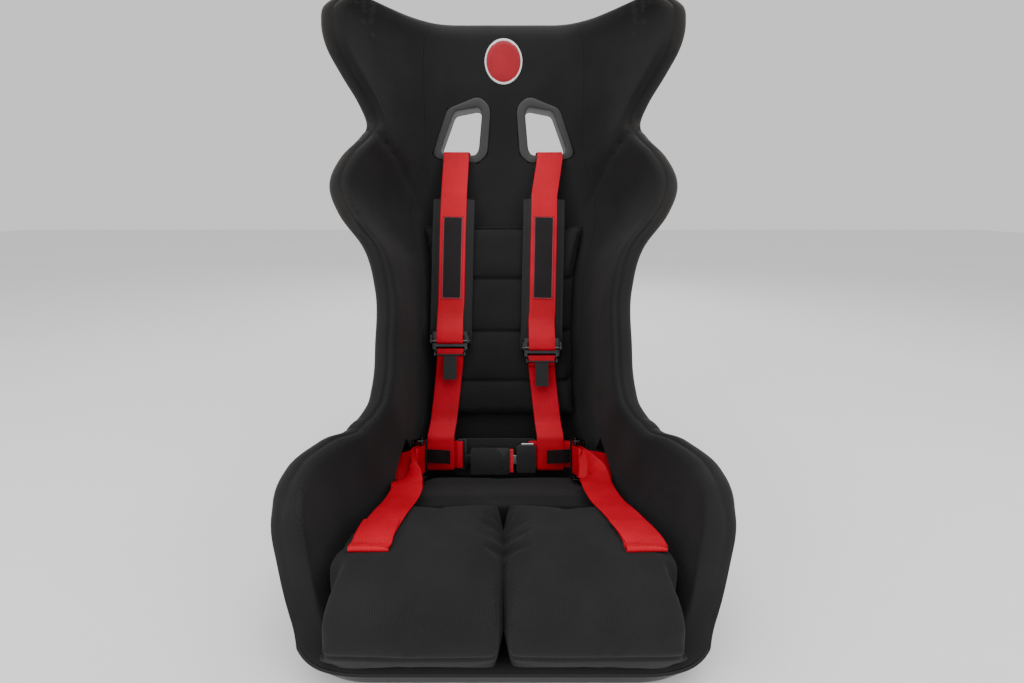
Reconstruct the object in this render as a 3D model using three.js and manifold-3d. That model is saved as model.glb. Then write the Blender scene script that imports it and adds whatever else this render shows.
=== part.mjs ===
// Bucket racing seat with a four-strap harness. Millimetres, +Z up, +Y towards the backrest, +X to the right
// when looking at the seat from its front. The origin lies on the floor, on the seat's centre line.
import * as THREE from 'three';
import { mergeVertices } from 'three/addons/utils/BufferGeometryUtils.js';
import Module from 'manifold-3d';

const wasm = await Module();
wasm.setup();

// Driving dimensions
const GAP = 0.3;
const BACKING_GAP = 0.6;
const SHELL_WALL = 4;
const RECLINE = THREE.MathUtils.degToRad(16.5);
const WEB_WIDTH = 50;
const WEB_THICK = 1.8;
const CORNER_FULLNESS = 0.72;
const FLAT_SHARE = 0.35;
const LINER_SHARE = 0.64;
const END_ROUNDING = 34;

// Stations along the spine, from the front lip over the pan and up the back to the head.
// y, z: the spine of the shell's outer face. lean: the section plane's tilt in degrees. flat, corner, rim: half
// widths of the flat middle, the corner and the rim. height: of the rim above the spine. centre, side, edge:
// thickness of the upholstery at the middle, the flank and the rim.
const STATION_KEYS = ['y', 'z', 'lean', 'flat', 'corner', 'rim', 'height', 'centre', 'side', 'edge'];
const STATIONS = [
  [-304, 32, -24, 160, 226, 244, 30, 24, 30, 30],
  [-292, 10, -11, 160, 232, 258, 96, 38, 36, 36],
  [-262, 0, -2, 160, 238, 272, 166, 48, 40, 40],
  [-215, 0, 4, 160, 240, 280, 206, 46, 42, 42],
  [-150, 0, 9, 158, 238, 281, 226, 42, 44, 42],
  [-60, 0, 16, 152, 228, 262, 240, 32, 42, 40],
  [30, 0, 27.7, 148, 216, 238, 263, 24, 38, 38],
  [102, 2, 34, 144, 206, 224, 289, 20, 32, 36],
  [150, 44, 41.1, 138, 200, 213, 283, 18, 28, 36],
  [181, 120, 51.1, 132, 194, 209, 252, 18, 26, 36],
  [200, 200, 61.5, 130, 191, 207, 223, 18, 25, 36],
  [220, 276, 72, 130, 188, 207, 210, 18, 25, 36],
  [248, 368, 73.5, 130, 188, 208, 206, 18, 25, 36],
  [267, 434, 73.5, 130, 195, 226, 210, 18, 26, 36],
  [282, 482, 73.5, 130, 207, 262, 213, 18, 28, 36],
  [295, 527, 73.5, 128, 214, 279, 208, 18, 30, 36],
  [310, 579, 73.5, 124, 206, 265, 190, 20, 30, 36],
  [321, 616, 73.5, 120, 195, 244, 166, 22, 30, 36],
  [330, 647, 74, 114, 189, 235, 150, 24, 30, 36],
  [338, 680, 76, 108, 187, 243, 162, 28, 32, 38],
  [346, 722, 79, 102, 189, 261, 194, 34, 36, 40],
  [354, 768, 83, 98, 190, 275, 220, 40, 38, 40],
  [359, 812, 86, 96, 188, 279, 226, 42, 38, 40],
  [361, 850, 89, 94, 183, 272, 222, 42, 38, 40],
  [361, 876, 92, 92, 174, 252, 206, 42, 38, 40],
  [361, 894, 95, 90, 160, 222, 178, 42, 38, 40],
];
const RING_COUNT = 32;
const ACROSS = [0, 0.18, 0.35, 0.46, 0.55, 0.64, 0.73, 0.82, 0.91, 1];
const ROLL_STEPS = 6;

// Places along the spine, in millimetres from the front lip
const spine = [0];
for (let i = 1; i < STATIONS.length; i++) {
  const step = Math.hypot(STATIONS[i][0] - STATIONS[i - 1][0], STATIONS[i][1] - STATIONS[i - 1][1]);
  spine.push(spine[i - 1] + step);
}
const SPINE_LENGTH = spine[spine.length - 1];
const THIGH_END = spine[6] + 20;
const NECK = spine[18];
const PAN_END = spine[8];
const BACK_PAD_FOOT = spine[9] + 14;
const BACK_PAD_HEAD = spine[14] + 36;

// Colours and surfaces
const paint = (color, roughness, metalness) => new THREE.MeshStandardMaterial({ color, roughness, metalness });
const finish = {
  shell: () => paint(0x161616, 0.35, 0),
  cloth: () => paint(0x1c1c1d, 0.95, 0),
  webbing: () => paint(0xd0102c, 0.7, 0),
  plastic: () => paint(0x2c2c2c, 0.55, 0),
  steel: () => paint(0x303236, 0.3, 0.9),
  bright: () => paint(0xb8bbc0, 0.25, 1),
  red: () => paint(0xc01020, 0.4, 0),
  leather: () => paint(0x0d0d0e, 0.5, 0),
};

// Smooth interpolation between the stations
function slopeAt(column, i) {
  const lo = Math.max(i - 1, 0);
  const hi = Math.min(i + 1, STATIONS.length - 1);
  const rise = (a, b) => (STATIONS[b][column] - STATIONS[a][column]) / (spine[b] - spine[a]);
  if (lo === i || hi === i) return rise(lo, hi);
  const before = spine[i] - spine[lo];
  const after = spine[hi] - spine[i];
  return (rise(lo, i) * after + rise(i, hi) * before) / (before + after);
}

function station(s) {
  let i = 0;
  while (i < STATIONS.length - 2 && s > spine[i + 1]) i++;
  const h = spine[i + 1] - spine[i];
  const t = (s - spine[i]) / h;
  const st = {};
  STATION_KEYS.forEach((key, c) => {
    const a = (2 * t ** 3 - 3 * t * t + 1) * STATIONS[i][c] + (t ** 3 - 2 * t * t + t) * h * slopeAt(c, i);
    const b = (3 * t * t - 2 * t ** 3) * STATIONS[i + 1][c] + (t ** 3 - t * t) * h * slopeAt(c, i + 1);
    st[key] = a + b;
  });
  st.z = Math.max(st.z, 0);
  const ends = Math.min(s, SPINE_LENGTH - s);
  const q = Math.min(Math.max(ends / END_ROUNDING, 0), 1);
  st.rounding = Math.max(Math.sqrt(1 - (1 - q) ** 2), 0.12);
  return st;
}

// A point of the shell's outer face in its section plane, with the unit normal that points inwards
function section(st, t) {
  if (t < FLAT_SHARE) return { x: (st.flat * t) / FLAT_SHARE, h: 0, nx: 0, nh: 1 };
  const q = (t - FLAT_SHARE) / (1 - FLAT_SHARE);
  const x1 = st.flat + (st.corner - st.flat) * CORNER_FULLNESS;
  const x2 = st.rim + (st.corner - st.rim) * CORNER_FULLNESS;
  const h2 = st.height * (1 - CORNER_FULLNESS);
  const b = [(1 - q) ** 3, 3 * (1 - q) ** 2 * q, 3 * (1 - q) * q * q, q ** 3];
  const x = b[0] * st.flat + b[1] * x1 + b[2] * x2 + b[3] * st.rim;
  const h = b[2] * h2 + b[3] * st.height;
  const dx = (1 - q) ** 2 * (x1 - st.flat) + 2 * (1 - q) * q * (x2 - x1) + q * q * (st.rim - x2);
  const dh = 2 * (1 - q) * q * h2 + q * q * (st.height - h2);
  const length = Math.hypot(dx, dh);
  return { x, h, nx: -dh / length, nh: dx / length };
}

function padding(st, t) {
  const ease = (k) => k * k * (3 - 2 * k);
  let depth = st.centre;
  if (t > FLAT_SHARE) {
    const q = (t - FLAT_SHARE) / (1 - FLAT_SHARE);
    if (q < 0.5) depth = st.centre + (st.side - st.centre) * ease(2 * q);
    else depth = st.side + (st.edge - st.side) * ease(2 * q - 1);
  }
  const base = SHELL_WALL + BACKING_GAP;
  return base + (depth - base) * st.rounding;
}

// One point of the section at share u across (negative on the left), raised by an offset from the outer face
function across(st, u, offset) {
  const p = section(st, Math.abs(u));
  const side = u < 0 ? -1 : 1;
  return [side * (p.x + p.nx * offset), p.h + p.nh * offset];
}

function place(st, [x, h]) {
  const lean = THREE.MathUtils.degToRad(st.lean);
  return new THREE.Vector3(x, st.y - Math.sin(lean) * h, st.z + Math.cos(lean) * h);
}

const sharesBetween = (lo, hi) => {
  const all = [...ACROSS.slice(1).map((t) => -t).reverse(), ...ACROSS];
  return [lo, ...all.filter((t) => t > lo + 0.01 && t < hi - 0.01), hi];
};

// Section planes that all pieces share, so that neighbours fit: evenly spaced, with a pair at each seam
const RING_PLACES = (() => {
  const seams = [THIGH_END, NECK, PAN_END, BACK_PAD_FOOT, BACK_PAD_HEAD];
  const even = Array.from({ length: RING_COUNT + 1 }, (_, i) => (i * SPINE_LENGTH) / RING_COUNT);
  const free = even.filter((s) => seams.every((seam) => Math.abs(s - seam) > 7));
  const nearEnds = [END_ROUNDING * 0.08, END_ROUNDING * 0.35].flatMap((d) => [d, SPINE_LENGTH - d]);
  return [...free, ...nearEnds, ...seams.flatMap((seam) => [seam - 0.5, seam + 0.5])].sort((a, b) => a - b);
})();

const ringsBetween = (from, to) => RING_PLACES.filter((s) => s > from - 0.01 && s < to + 0.01);

// Mesh helpers
function geometryFrom(points, triangles) {
  const geometry = new THREE.BufferGeometry();
  const numbers = points.flatMap((p) => [p.x, p.y, p.z]);
  geometry.setAttribute('position', new THREE.Float32BufferAttribute(numbers, 3));
  let volume = 0;
  for (const [a, b, c] of triangles) volume += points[a].dot(points[b].clone().cross(points[c]));
  geometry.setIndex(triangles.flatMap(([a, b, c]) => (volume < 0 ? [a, c, b] : [a, b, c])));
  return geometry;
}

// Faces that fill a flat outline. A wall's outline, with as many points on its back as on its face, is filled
// by rungs between the two; any other outline is cut into triangles.
function capFaces(outline) {
  const n = outline.length;
  const faces = [];
  if (n % 2 === 0) {
    for (let i = 0; i < n / 2 - 1; i++) faces.push([i, i + 1, n - 2 - i], [i, n - 2 - i, n - 1 - i]);
    return faces;
  }
  const flat = outline.map(([x, y]) => new THREE.Vector2(x, y));
  const clockwise = THREE.ShapeUtils.isClockWise(flat);
  const order = flat.map((_, i) => (clockwise ? n - 1 - i : i));
  for (const face of THREE.ShapeUtils.triangulateShape(order.map((i) => flat[i]), [])) {
    const [a, b, c] = face.map((i) => order[i]);
    faces.push(clockwise ? [a, c, b] : [a, b, c]);
  }
  return faces;
}

// Closed solid through rings of points, each cell split along its shorter diagonal. Its two end faces are
// filled from the flat outlines given for them.
function loft(rings, firstOutline, lastOutline) {
  const points = rings.flat();
  const n = rings[0].length;
  const last = (rings.length - 1) * n;
  const triangles = [];
  for (let i = 0; i < rings.length - 1; i++) {
    for (let j = 0; j < n; j++) {
      const a = i * n + j;
      const b = i * n + ((j + 1) % n);
      const straight = points[a].distanceTo(points[b + n]) < points[b].distanceTo(points[a + n]);
      if (straight) triangles.push([a, b, b + n], [a, b + n, a + n]);
      else triangles.push([a, b, a + n], [b, b + n, a + n]);
    }
  }
  for (const [a, b, c] of capFaces(firstOutline)) triangles.push([a, c, b]);
  for (const [a, b, c] of capFaces(lastOutline)) triangles.push([last + a, last + b, last + c]);
  return geometryFrom(points, triangles);
}

function loftSections(from, to, outline) {
  const stations = ringsBetween(from, to).map(station);
  const outlines = stations.map(outline);
  const rings = outlines.map((list, i) => list.map((p) => place(stations[i], p)));
  return loft(rings, outlines[0], outlines[outlines.length - 1]);
}

function toSolid(geometry) {
  const bare = geometry.clone();
  for (const name of Object.keys(bare.attributes)) if (name !== 'position') bare.deleteAttribute(name);
  const merged = mergeVertices(bare, 1e-4);
  const vertProperties = new Float32Array(merged.attributes.position.array);
  const triVerts = new Uint32Array(merged.index.array);
  return new wasm.Manifold(new wasm.Mesh({ numProp: 3, vertProperties, triVerts }));
}

function toGeometry(solid) {
  const mesh = solid.getMesh();
  const geometry = new THREE.BufferGeometry();
  const points = new Float32Array(mesh.numVert * 3);
  for (let i = 0; i < mesh.numVert; i++) {
    for (let k = 0; k < 3; k++) points[3 * i + k] = mesh.vertProperties[i * mesh.numProp + k];
  }
  geometry.setAttribute('position', new THREE.BufferAttribute(points, 3));
  geometry.setIndex(Array.from(mesh.triVerts));
  return geometry;
}

const cut = (first, ...rest) => toGeometry(rest.reduce((a, b) => a.subtract(toSolid(b)), toSolid(first)));
const join = (first, ...rest) => toGeometry(rest.reduce((a, b) => a.add(toSolid(b)), toSolid(first)));
const overlapOf = (a, b) => toGeometry(toSolid(a).intersect(toSolid(b)));

function box(x0, x1, y0, y1, z0, z1) {
  const geometry = new THREE.BoxGeometry(Math.abs(x1 - x0), y1 - y0, z1 - z0);
  return geometry.translate((x0 + x1) / 2, (y0 + y1) / 2, (z0 + z1) / 2);
}

function extrude(outline, depth, holes = []) {
  const path = (list, clockwise) => {
    const points = list.map(([x, y]) => new THREE.Vector2(x, y));
    return THREE.ShapeUtils.isClockWise(points) === clockwise ? points : points.reverse();
  };
  const shape = new THREE.Shape(path(outline, false));
  shape.holes = holes.map((hole) => new THREE.Path(path(hole, true)));
  return new THREE.ExtrudeGeometry(shape, { depth, bevelEnabled: false, curveSegments: 8 });
}

const seat = new THREE.Group();

function add(name, geometry, material, matrix) {
  const mesh = new THREE.Mesh(geometry, material());
  mesh.name = name;
  if (matrix) mesh.applyMatrix4(matrix);
  seat.add(mesh);
  return mesh;
}

const SIDES = [['left', -1], ['right', 1]];

// Belt slots in the back, seen from the front, for the right side; x and z, mirrored for the left
const SLOT_TILT = THREE.MathUtils.degToRad(4);
const SLOT_FACE_Y = 303;
const SLOT_FOOT_Z = 634;
const BEZEL_OUTLINE = [
  [25, 739], [36, 754], [51, 761], [110, 739], [141, 658], [137, 649], [126, 645], [51, 638], [32, 655],
];
const SLOT_OUTLINE = [[42, 732], [48, 743], [97, 734], [125, 664], [119, 655], [56, 653], [49, 663]];
const BEZEL_THICK = 5;
const SLEEVE_DEPTH = 44;

const slotPlane = (outline, side, grow = 0) => {
  const cx = outline.reduce((sum, p) => sum + p[0], 0) / outline.length;
  const cz = outline.reduce((sum, p) => sum + p[1], 0) / outline.length;
  return outline.map(([x, z]) => {
    const length = Math.hypot(x - cx, z - cz);
    return [side * (x + ((x - cx) / length) * grow), z - SLOT_FOOT_Z + ((z - cz) / length) * grow];
  });
};

// Extruded backwards from the slot plane, from a depth in front of it (negative) to one behind it
function slotPrism(outline, side, from, to, hole) {
  const geometry = extrude(outline, to - from, hole ? [hole] : []);
  geometry.translate(0, 0, from);
  geometry.applyMatrix4(new THREE.Matrix4().makeBasis(
    new THREE.Vector3(1, 0, 0),
    new THREE.Vector3(0, 0, 1),
    new THREE.Vector3(0, 1, 0),
  ));
  return flipped(geometry.rotateX(-SLOT_TILT).translate(0, SLOT_FACE_Y, SLOT_FOOT_Z));
}

// A mirrored basis turns a mesh inside out, so its triangles are turned back
function flipped(geometry) {
  const bare = geometry.clone();
  for (const name of Object.keys(bare.attributes)) if (name !== 'position') bare.deleteAttribute(name);
  const merged = mergeVertices(bare, 1e-4);
  const position = merged.attributes.position;
  const at = (i) => new THREE.Vector3().fromBufferAttribute(position, i);
  const points = Array.from({ length: position.count }, (_, i) => at(i));
  const index = merged.index.array;
  const triangles = [];
  for (let i = 0; i < index.length; i += 3) triangles.push([index[i], index[i + 1], index[i + 2]]);
  return geometryFrom(points, triangles);
}

// Lap belt slots through the flanks, where the pan meets the back
const LAP_SLOT = { y: 22, z: 122, length: 62, height: 15, tilt: THREE.MathUtils.degToRad(35) };

function lapSlotBox(side, from, to, grow) {
  const geometry = new THREE.BoxGeometry(to - from, LAP_SLOT.length + 2 * grow, LAP_SLOT.height + 2 * grow);
  geometry.rotateX(LAP_SLOT.tilt);
  return geometry.translate((side * (from + to)) / 2, LAP_SLOT.y, LAP_SLOT.z);
}

function addShell() {
  let shell = loftSections(0, SPINE_LENGTH, (st) => {
    const shares = sharesBetween(-1, 1);
    const outside = shares.map((u) => across(st, u, 0));
    const inside = shares.map((u) => across(st, u, SHELL_WALL)).reverse();
    return [...outside, ...inside];
  });
  for (const [, side] of SIDES) {
    shell = cut(shell, slotPrism(slotPlane(SLOT_OUTLINE, side, 3.5), side, -20, 90), lapSlotBox(side, 90, 330, 3.6));
  }
  add('seat_shell', shell, finish.shell);
}

function addLiners() {
  const liner = (from, to) => loftSections(from, to, (st) => {
    const shares = sharesBetween(-LINER_SHARE, LINER_SHARE);
    const face = shares.map((u) => across(st, u, padding(st, Math.abs(u)))).reverse();
    return [...shares.map((u) => across(st, u, SHELL_WALL + BACKING_GAP)), ...face];
  });
  let back = liner(PAN_END + 0.5, SPINE_LENGTH);
  for (const [, side] of SIDES) {
    back = cut(back, slotPrism(slotPlane(BEZEL_OUTLINE, side, 0.6), side, -40, BEZEL_THICK + 0.3));
    back = cut(back, slotPrism(slotPlane(SLOT_OUTLINE, side, 3.5), side, -20, 90));
  }
  add('back_liner', back, finish.cloth);
  add('pan_liner', liner(0, PAN_END - 0.5), finish.cloth);
}

// Padding over one flank, wrapped round the shell's edge in a half-round roll
function bolsterOutline(st, side) {
  const inner = LINER_SHARE + 0.006;
  const shares = [inner, ...ACROSS.filter((t) => t > inner + 0.01)];
  const edge = section(st, 1);
  const depth = padding(st, 1);
  const along = [edge.nh, -edge.nx];
  const roll = [];
  for (let i = 0; i <= ROLL_STEPS; i++) {
    const angle = (Math.PI * i) / ROLL_STEPS;
    const up = (depth / 2) * (1 + Math.cos(angle));
    const out = BACKING_GAP + (depth / 2) * Math.sin(angle);
    roll.push([edge.x + edge.nx * up + along[0] * out, edge.h + edge.nh * up + along[1] * out]);
  }
  const base = SHELL_WALL + BACKING_GAP;
  const heel = [
    edge.x + edge.nx * base + along[0] * BACKING_GAP,
    edge.h + edge.nh * base + along[1] * BACKING_GAP,
  ];
  const outline = [
    ...shares.map((t) => across(st, t, padding(st, t))),
    ...roll,
    heel,
    ...shares.slice(0, -1).reverse().map((t) => across(st, t, base)),
  ];
  return outline.map(([x, h]) => [side * x, h]);
}

function addBolsters() {
  for (const [label, side] of SIDES) {
    const pad = (from, to) => loftSections(from, to, (st) => bolsterOutline(st, side));
    const slot = lapSlotBox(side, 90, 330, 3.6);
    const mouth = lapSlotBox(side, 90, 200, 14);
    add(`thigh_bolster_${label}`, cut(pad(0, THIGH_END - 0.5), slot, mouth), finish.cloth);
    add(`side_bolster_${label}`, cut(pad(THIGH_END + 0.5, NECK - 0.5), slot, mouth), finish.cloth);
    add(`head_bolster_${label}`, pad(NECK + 0.5, SPINE_LENGTH), finish.cloth);
  }
}

// Space inside the upholstery of the pan, run on past the front lip and above it
function panInterior() {
  const stations = ringsBetween(0, spine[9]).map(station);
  const outlines = stations.map((st) => {
    const clear = GAP + 0.5;
    return sharesBetween(-1, 1).map((u) => across(st, u, padding(st, Math.abs(u)) + clear));
  });
  const rings = outlines.map((list, i) => list.map((p) => place(stations[i], p)));
  const ahead = rings[0].map((p) => new THREE.Vector3(p.x, p.y - 70, p.z));
  const inside = loft([ahead, ...rings], outlines[0], outlines[outlines.length - 1]);
  return join(inside, box(-200, 200, -340, -290, 58, 160), box(-200, 200, -300, -255, 84, 160));
}

// Seat cushion profiles seen from the right side, y and z
const LEG_PROFILE = [
  [-84, 20], [-300, 20], [-318, 68], [-330, 76], [-337, 96], [-331, 128], [-314, 143], [-285, 152], [-245, 153],
  [-200, 147], [-140, 134], [-84, 121],
];
const REAR_PROFILE = [
  [-82.6, 10], [-82.6, 119], [-30, 103], [18, 84], [32, 79], [60, 73], [78, 65], [100, 54], [100, 10],
];
const LEG_WIDTH = 216;
const REAR_WIDTH = 172;
const SPLIT = 2;

function acrossX(profile, x0, x1, holes = []) {
  const geometry = extrude(profile, x1 - x0, holes);
  geometry.applyMatrix4(new THREE.Matrix4().makeBasis(
    new THREE.Vector3(0, 1, 0),
    new THREE.Vector3(0, 0, 1),
    new THREE.Vector3(1, 0, 0),
  ));
  return flipped(geometry.translate(x0, 0, 0));
}

function addSeatCushions() {
  const inside = panInterior();
  add('seat_cushion_left', overlapOf(acrossX(LEG_PROFILE, -LEG_WIDTH, -SPLIT), inside), finish.cloth);
  add('seat_cushion_right', overlapOf(acrossX(LEG_PROFILE, SPLIT, LEG_WIDTH), inside), finish.cloth);
  add('seat_cushion_rear', overlapOf(acrossX(REAR_PROFILE, -REAR_WIDTH, REAR_WIDTH), inside), finish.cloth);
}

// Back cushion on the liner
const BACK_PAD = { depth: 22, share: 0.55 };

function addBackCushion() {
  const clear = GAP + 0.2;
  const cushion = loftSections(BACK_PAD_FOOT + 0.5, BACK_PAD_HEAD - 0.5, (st) => {
    const shares = sharesBetween(-BACK_PAD.share, BACK_PAD.share);
    const face = shares.map((u, i) => {
      const edge = i === 0 || i === shares.length - 1 ? 0.45 : 1;
      return across(st, u, padding(st, Math.abs(u)) + clear + BACK_PAD.depth * edge);
    });
    return [...shares.map((u) => across(st, u, padding(st, Math.abs(u)) + clear)), ...face.reverse()];
  });
  add('back_cushion', cushion, finish.cloth);
}

function addBezels() {
  for (const [label, side] of SIDES) {
    const hole = slotPlane(SLOT_OUTLINE, side);
    const flange = slotPrism(slotPlane(BEZEL_OUTLINE, side), side, 0, BEZEL_THICK, hole);
    const sleeve = slotPrism(slotPlane(SLOT_OUTLINE, side, 3), side, BEZEL_THICK - 1, SLEEVE_DEPTH, hole);
    add(`slot_bezel_front_${label}`, join(flange, sleeve), finish.plastic);
    const ring = slotPrism(slotPlane(BEZEL_OUTLINE, side, -4), side, SLEEVE_DEPTH + 1, SLEEVE_DEPTH + 5, hole);
    add(`slot_bezel_rear_${label}`, ring, finish.plastic);
    const lap = cut(lapSlotBox(side, 188, 256, 3), lapSlotBox(side, 120, 300, 0));
    add(`lap_slot_sleeve_${label}`, lap, finish.plastic);
  }
}

// Mounting rails bonded along the lower flanks, each with two tapped holes in its flat outer face
const MOUNT = { face: 254, front: -215, rear: 75, end: 24, z: 66, half: 18, thread: 3.4, depth: 12 };

function outsideVolume() {
  return loftSections(0, spine[11], (st) => sharesBetween(-1, 1).map((u) => across(st, u, -GAP)));
}

function addSideMounts() {
  const body = outsideVolume();
  for (const [label, side] of SIDES) {
    const holes = [MOUNT.front, MOUNT.rear].map((y) => {
      const drill = new THREE.CylinderGeometry(MOUNT.thread, MOUNT.thread, 2 * MOUNT.depth, 20).rotateZ(Math.PI / 2);
      return drill.translate(side * MOUNT.face, y, MOUNT.z);
    });
    const from = MOUNT.front - MOUNT.end;
    const to = MOUNT.rear + MOUNT.end;
    const rail = box(side * 196, side * MOUNT.face, from, to, MOUNT.z - MOUNT.half, MOUNT.z + MOUNT.half);
    add(`mount_rail_${label}`, cut(rail, body, ...holes), finish.shell);
  }
}

addShell();
addLiners();
addBolsters();
addSeatCushions();
addBackCushion();
addBezels();
addSideMounts();

// The harness lies in a frame of its own: x across, v up the reclined back, n out of the back towards the driver
const BACK_ORIGIN = { y: 164.4, z: 298 };
const UP = new THREE.Vector3(0, Math.sin(RECLINE), Math.cos(RECLINE));
const OUT = new THREE.Vector3(0, -Math.cos(RECLINE), Math.sin(RECLINE));
const ACROSS_BACK = new THREE.Vector3(1, 0, 0);

function onBack(x, v, n) {
  return new THREE.Vector3(x, BACK_ORIGIN.y, BACK_ORIGIN.z).addScaledVector(UP, v).addScaledVector(OUT, n);
}

function frameAt(origin, xAxis, vAxis) {
  const nAxis = new THREE.Vector3().crossVectors(xAxis, vAxis).normalize();
  return new THREE.Matrix4().makeBasis(xAxis, vAxis, nAxis).setPosition(origin);
}

// Flat webbing along a path of [point, side] pairs, side being the direction of its width
function ribbon(path, width, thick) {
  const rings = path.map(([point, side], i) => {
    const before = path[Math.max(i - 1, 0)][0];
    const after = path[Math.min(i + 1, path.length - 1)][0];
    const along = new THREE.Vector3().subVectors(after, before).normalize();
    const wide = side.clone().addScaledVector(along, -side.dot(along)).normalize();
    const up = new THREE.Vector3().crossVectors(wide, along);
    const corner = (a, b) => {
      return point.clone().addScaledVector(wide, (a * width) / 2).addScaledVector(up, (b * thick) / 2);
    };
    return [corner(-1, -1), corner(1, -1), corner(1, 1), corner(-1, 1)];
  });
  const square = [[0, 0], [1, 0], [1, 1], [0, 1]];
  return loft(rings, square, square);
}

const straightPath = (list) => list.map((point) => [point, ACROSS_BACK]);

// Each side of the harness lies its own way, as it was laid in the seat
const HARNESS = {
  left: { side: -1, slotX: -93, padX: -96, adjuster: [-102, 9], lower: [-104, -118], lapX: -158 },
  right: { side: 1, slotX: 91, padX: 79, adjuster: [73, -4], lower: [76, 88], lapX: 140 },
};
const PAD = { top: 286, width: 80, thick: 11, level: -8.2 };
const PAD_PLACES = [286, 265, 250, 235, 218, 200, 150, 100];
const REST_LEVEL = -2.1;
const LABEL = { bottom: 92, width: 38, thick: 1 };
const LOCK_BAR = { r: 3.2, v: 1.5, n: 11, length: 76, travel: 3 };
const FRAME = { halfWidth: 36, halfLength: 20, plate: 3, height: 19, wall: 2.6 };

// Height of the pad's middle plane over the back at a place v up the back
const padLevel = (v) => {
  const steps = [[200, 0], [235, -1], [265, -4], [300, -9]];
  if (v <= steps[0][0]) return PAD.level;
  for (let i = 1; i < steps.length; i++) {
    if (v > steps[i][0]) continue;
    const t = (v - steps[i - 1][0]) / (steps[i][0] - steps[i - 1][0]);
    return PAD.level + steps[i - 1][1] + (steps[i][1] - steps[i - 1][1]) * t;
  }
  return PAD.level + steps[steps.length - 1][1];
};

function addShoulderWebbing(label, h) {
  const strapLevel = PAD.thick / 2 + GAP + 0.3 + WEB_THICK / 2;
  const [ax, av] = h.adjuster;
  const atX = (v) => h.padX + (ax - h.padX) * Math.min(Math.max((PAD.top - v) / (PAD.top - av), 0), 1);
  const local = (v, n) => onBack(ax, av + v, REST_LEVEL + n);
  const rear = [
    [353.6, 500], [353.6, 462], [354.8, 455.6], [357.5, 454.2], [360.2, 455.6], [361.4, 462], [361, 480], [359, 520],
    [358, 580], [358, 636], [355, 652], [347, 658.4], [325, 658.6], [304, 658],
  ];
  const front = [[297, 654], [292, 645]];
  const path = [
    ...[...rear, ...front].map(([y, z]) => new THREE.Vector3(h.slotX, y, z)),
    ...[292, ...PAD_PLACES.slice(0, -1), av + 75].map((v) => onBack(atX(v), v, padLevel(v) + strapLevel)),
    local(55, 1.8), local(38, 7), local(22, 13.5), local(10, 15.5), local(1.5, 15.5),
    local(-1.7, 14.2), local(-3, 11), local(-1.7, 7.8), local(1.5, 6.5), local(12, 6.5), local(24, 5.8), local(35, 3.6),
  ];
  add(`shoulder_strap_${label}`, ribbon(straightPath(path), WEB_WIDTH, WEB_THICK), finish.webbing);

  const padRing = (v) => [onBack(atX(v), v, padLevel(v)), ACROSS_BACK];
  const padFoot = av - 2;
  const padPath = [...PAD_PLACES, 50, padFoot].map(padRing);
  add(`shoulder_pad_${label}`, ribbon(padPath, PAD.width, PAD.thick), finish.cloth);

  const labelLevel = strapLevel + WEB_THICK / 2 + GAP + LABEL.thick / 2;
  const labelRing = (v) => [onBack(atX(v), v, padLevel(v) + labelLevel), ACROSS_BACK];
  const labelPath = [...PAD_PLACES.slice(2, -1), LABEL.bottom].map(labelRing);
  add(`pad_label_${label}`, ribbon(labelPath, LABEL.width, LABEL.thick), finish.leather);

  const [lowX, lapX] = h.lower;
  const x = (v) => lowX + (lapX - lowX) * Math.min((v - av) / (-170 - av), 1);
  const low = (v, n) => onBack(x(v), v, n);
  const lower = [
    low(-143, -6.4), low(-120, -10), low(-90, -12.3), low(-60, -11.6), low(-40, -8.2), local(-30, -1.9),
    local(-17.5, -1.5), local(-13.7, -1.3), local(-12.7, 1.5), local(-13.7, 4.3), local(-17.5, 4.5), local(-30, 3.4),
    low(-40, -4.4), low(-60, -8.6), low(-90, -9.4), low(-120, -7.2), low(-143, -3.4), low(-157, 8), low(-170, 17.2),
    low(-182, 17.9), low(-203, 17.7), low(-226, 17.7), low(-231, 16.9), low(-232.6, 15), low(-231, 13.1),
    low(-226, 12.3), low(-203, 12.3), low(-184, 12.2), low(-174, 9),
  ];
  add(`lower_strap_${label}`, ribbon(straightPath(lower), WEB_WIDTH, WEB_THICK), finish.webbing);
}

// Belt adjuster: a pressed frame with upright flanges, a sliding lock bar and a hinged pull tab
function adjusterFrame() {
  const w = FRAME.halfWidth;
  const l = FRAME.halfLength;
  const window = (from, to) => [[-27, from], [27, from], [27, to], [-27, to]];
  const outline = [[-w, -12], [-22, -l], [22, -l], [w, -12], [w, l - 4], [w - 4, l], [4 - w, l], [-w, l - 4]];
  const plate = extrude(outline, FRAME.plate, [window(-14.6, -9), window(-3, 12)]);
  const flangeOutline = [
    [-12, 0], [16, 0], [19, 6], [19, 11], [15, 15], [13, FRAME.height], [-2, FRAME.height], [-5, 16], [-10, 13],
    [-14, 7],
  ];
  const half = LOCK_BAR.r + GAP;
  const v0 = LOCK_BAR.v - half;
  const v1 = LOCK_BAR.v + LOCK_BAR.travel + half;
  const hole = [[v0, LOCK_BAR.n - half], [v1, LOCK_BAR.n - half], [v1, LOCK_BAR.n + half], [v0, LOCK_BAR.n + half]];
  const flange = (x) => acrossX(flangeOutline, x, x + FRAME.wall, [hole]);
  const ear = (x) => acrossX([[-12, 0.5], [-26, 4], [-28, 8], [-26.5, 11.6], [-22, 11.6], [-12, 2.8]], x, x + EAR.wall);
  return join(plate, flange(w - FRAME.wall), flange(-w), ear(EAR.x), ear(-EAR.x - EAR.wall));
}

const EAR = { x: 27.4, wall: 2.4 };
const TAB = { v: -24.5, n: 8.6, r: 1.8, width: 25, length: 47, thick: 2.2 };

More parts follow.
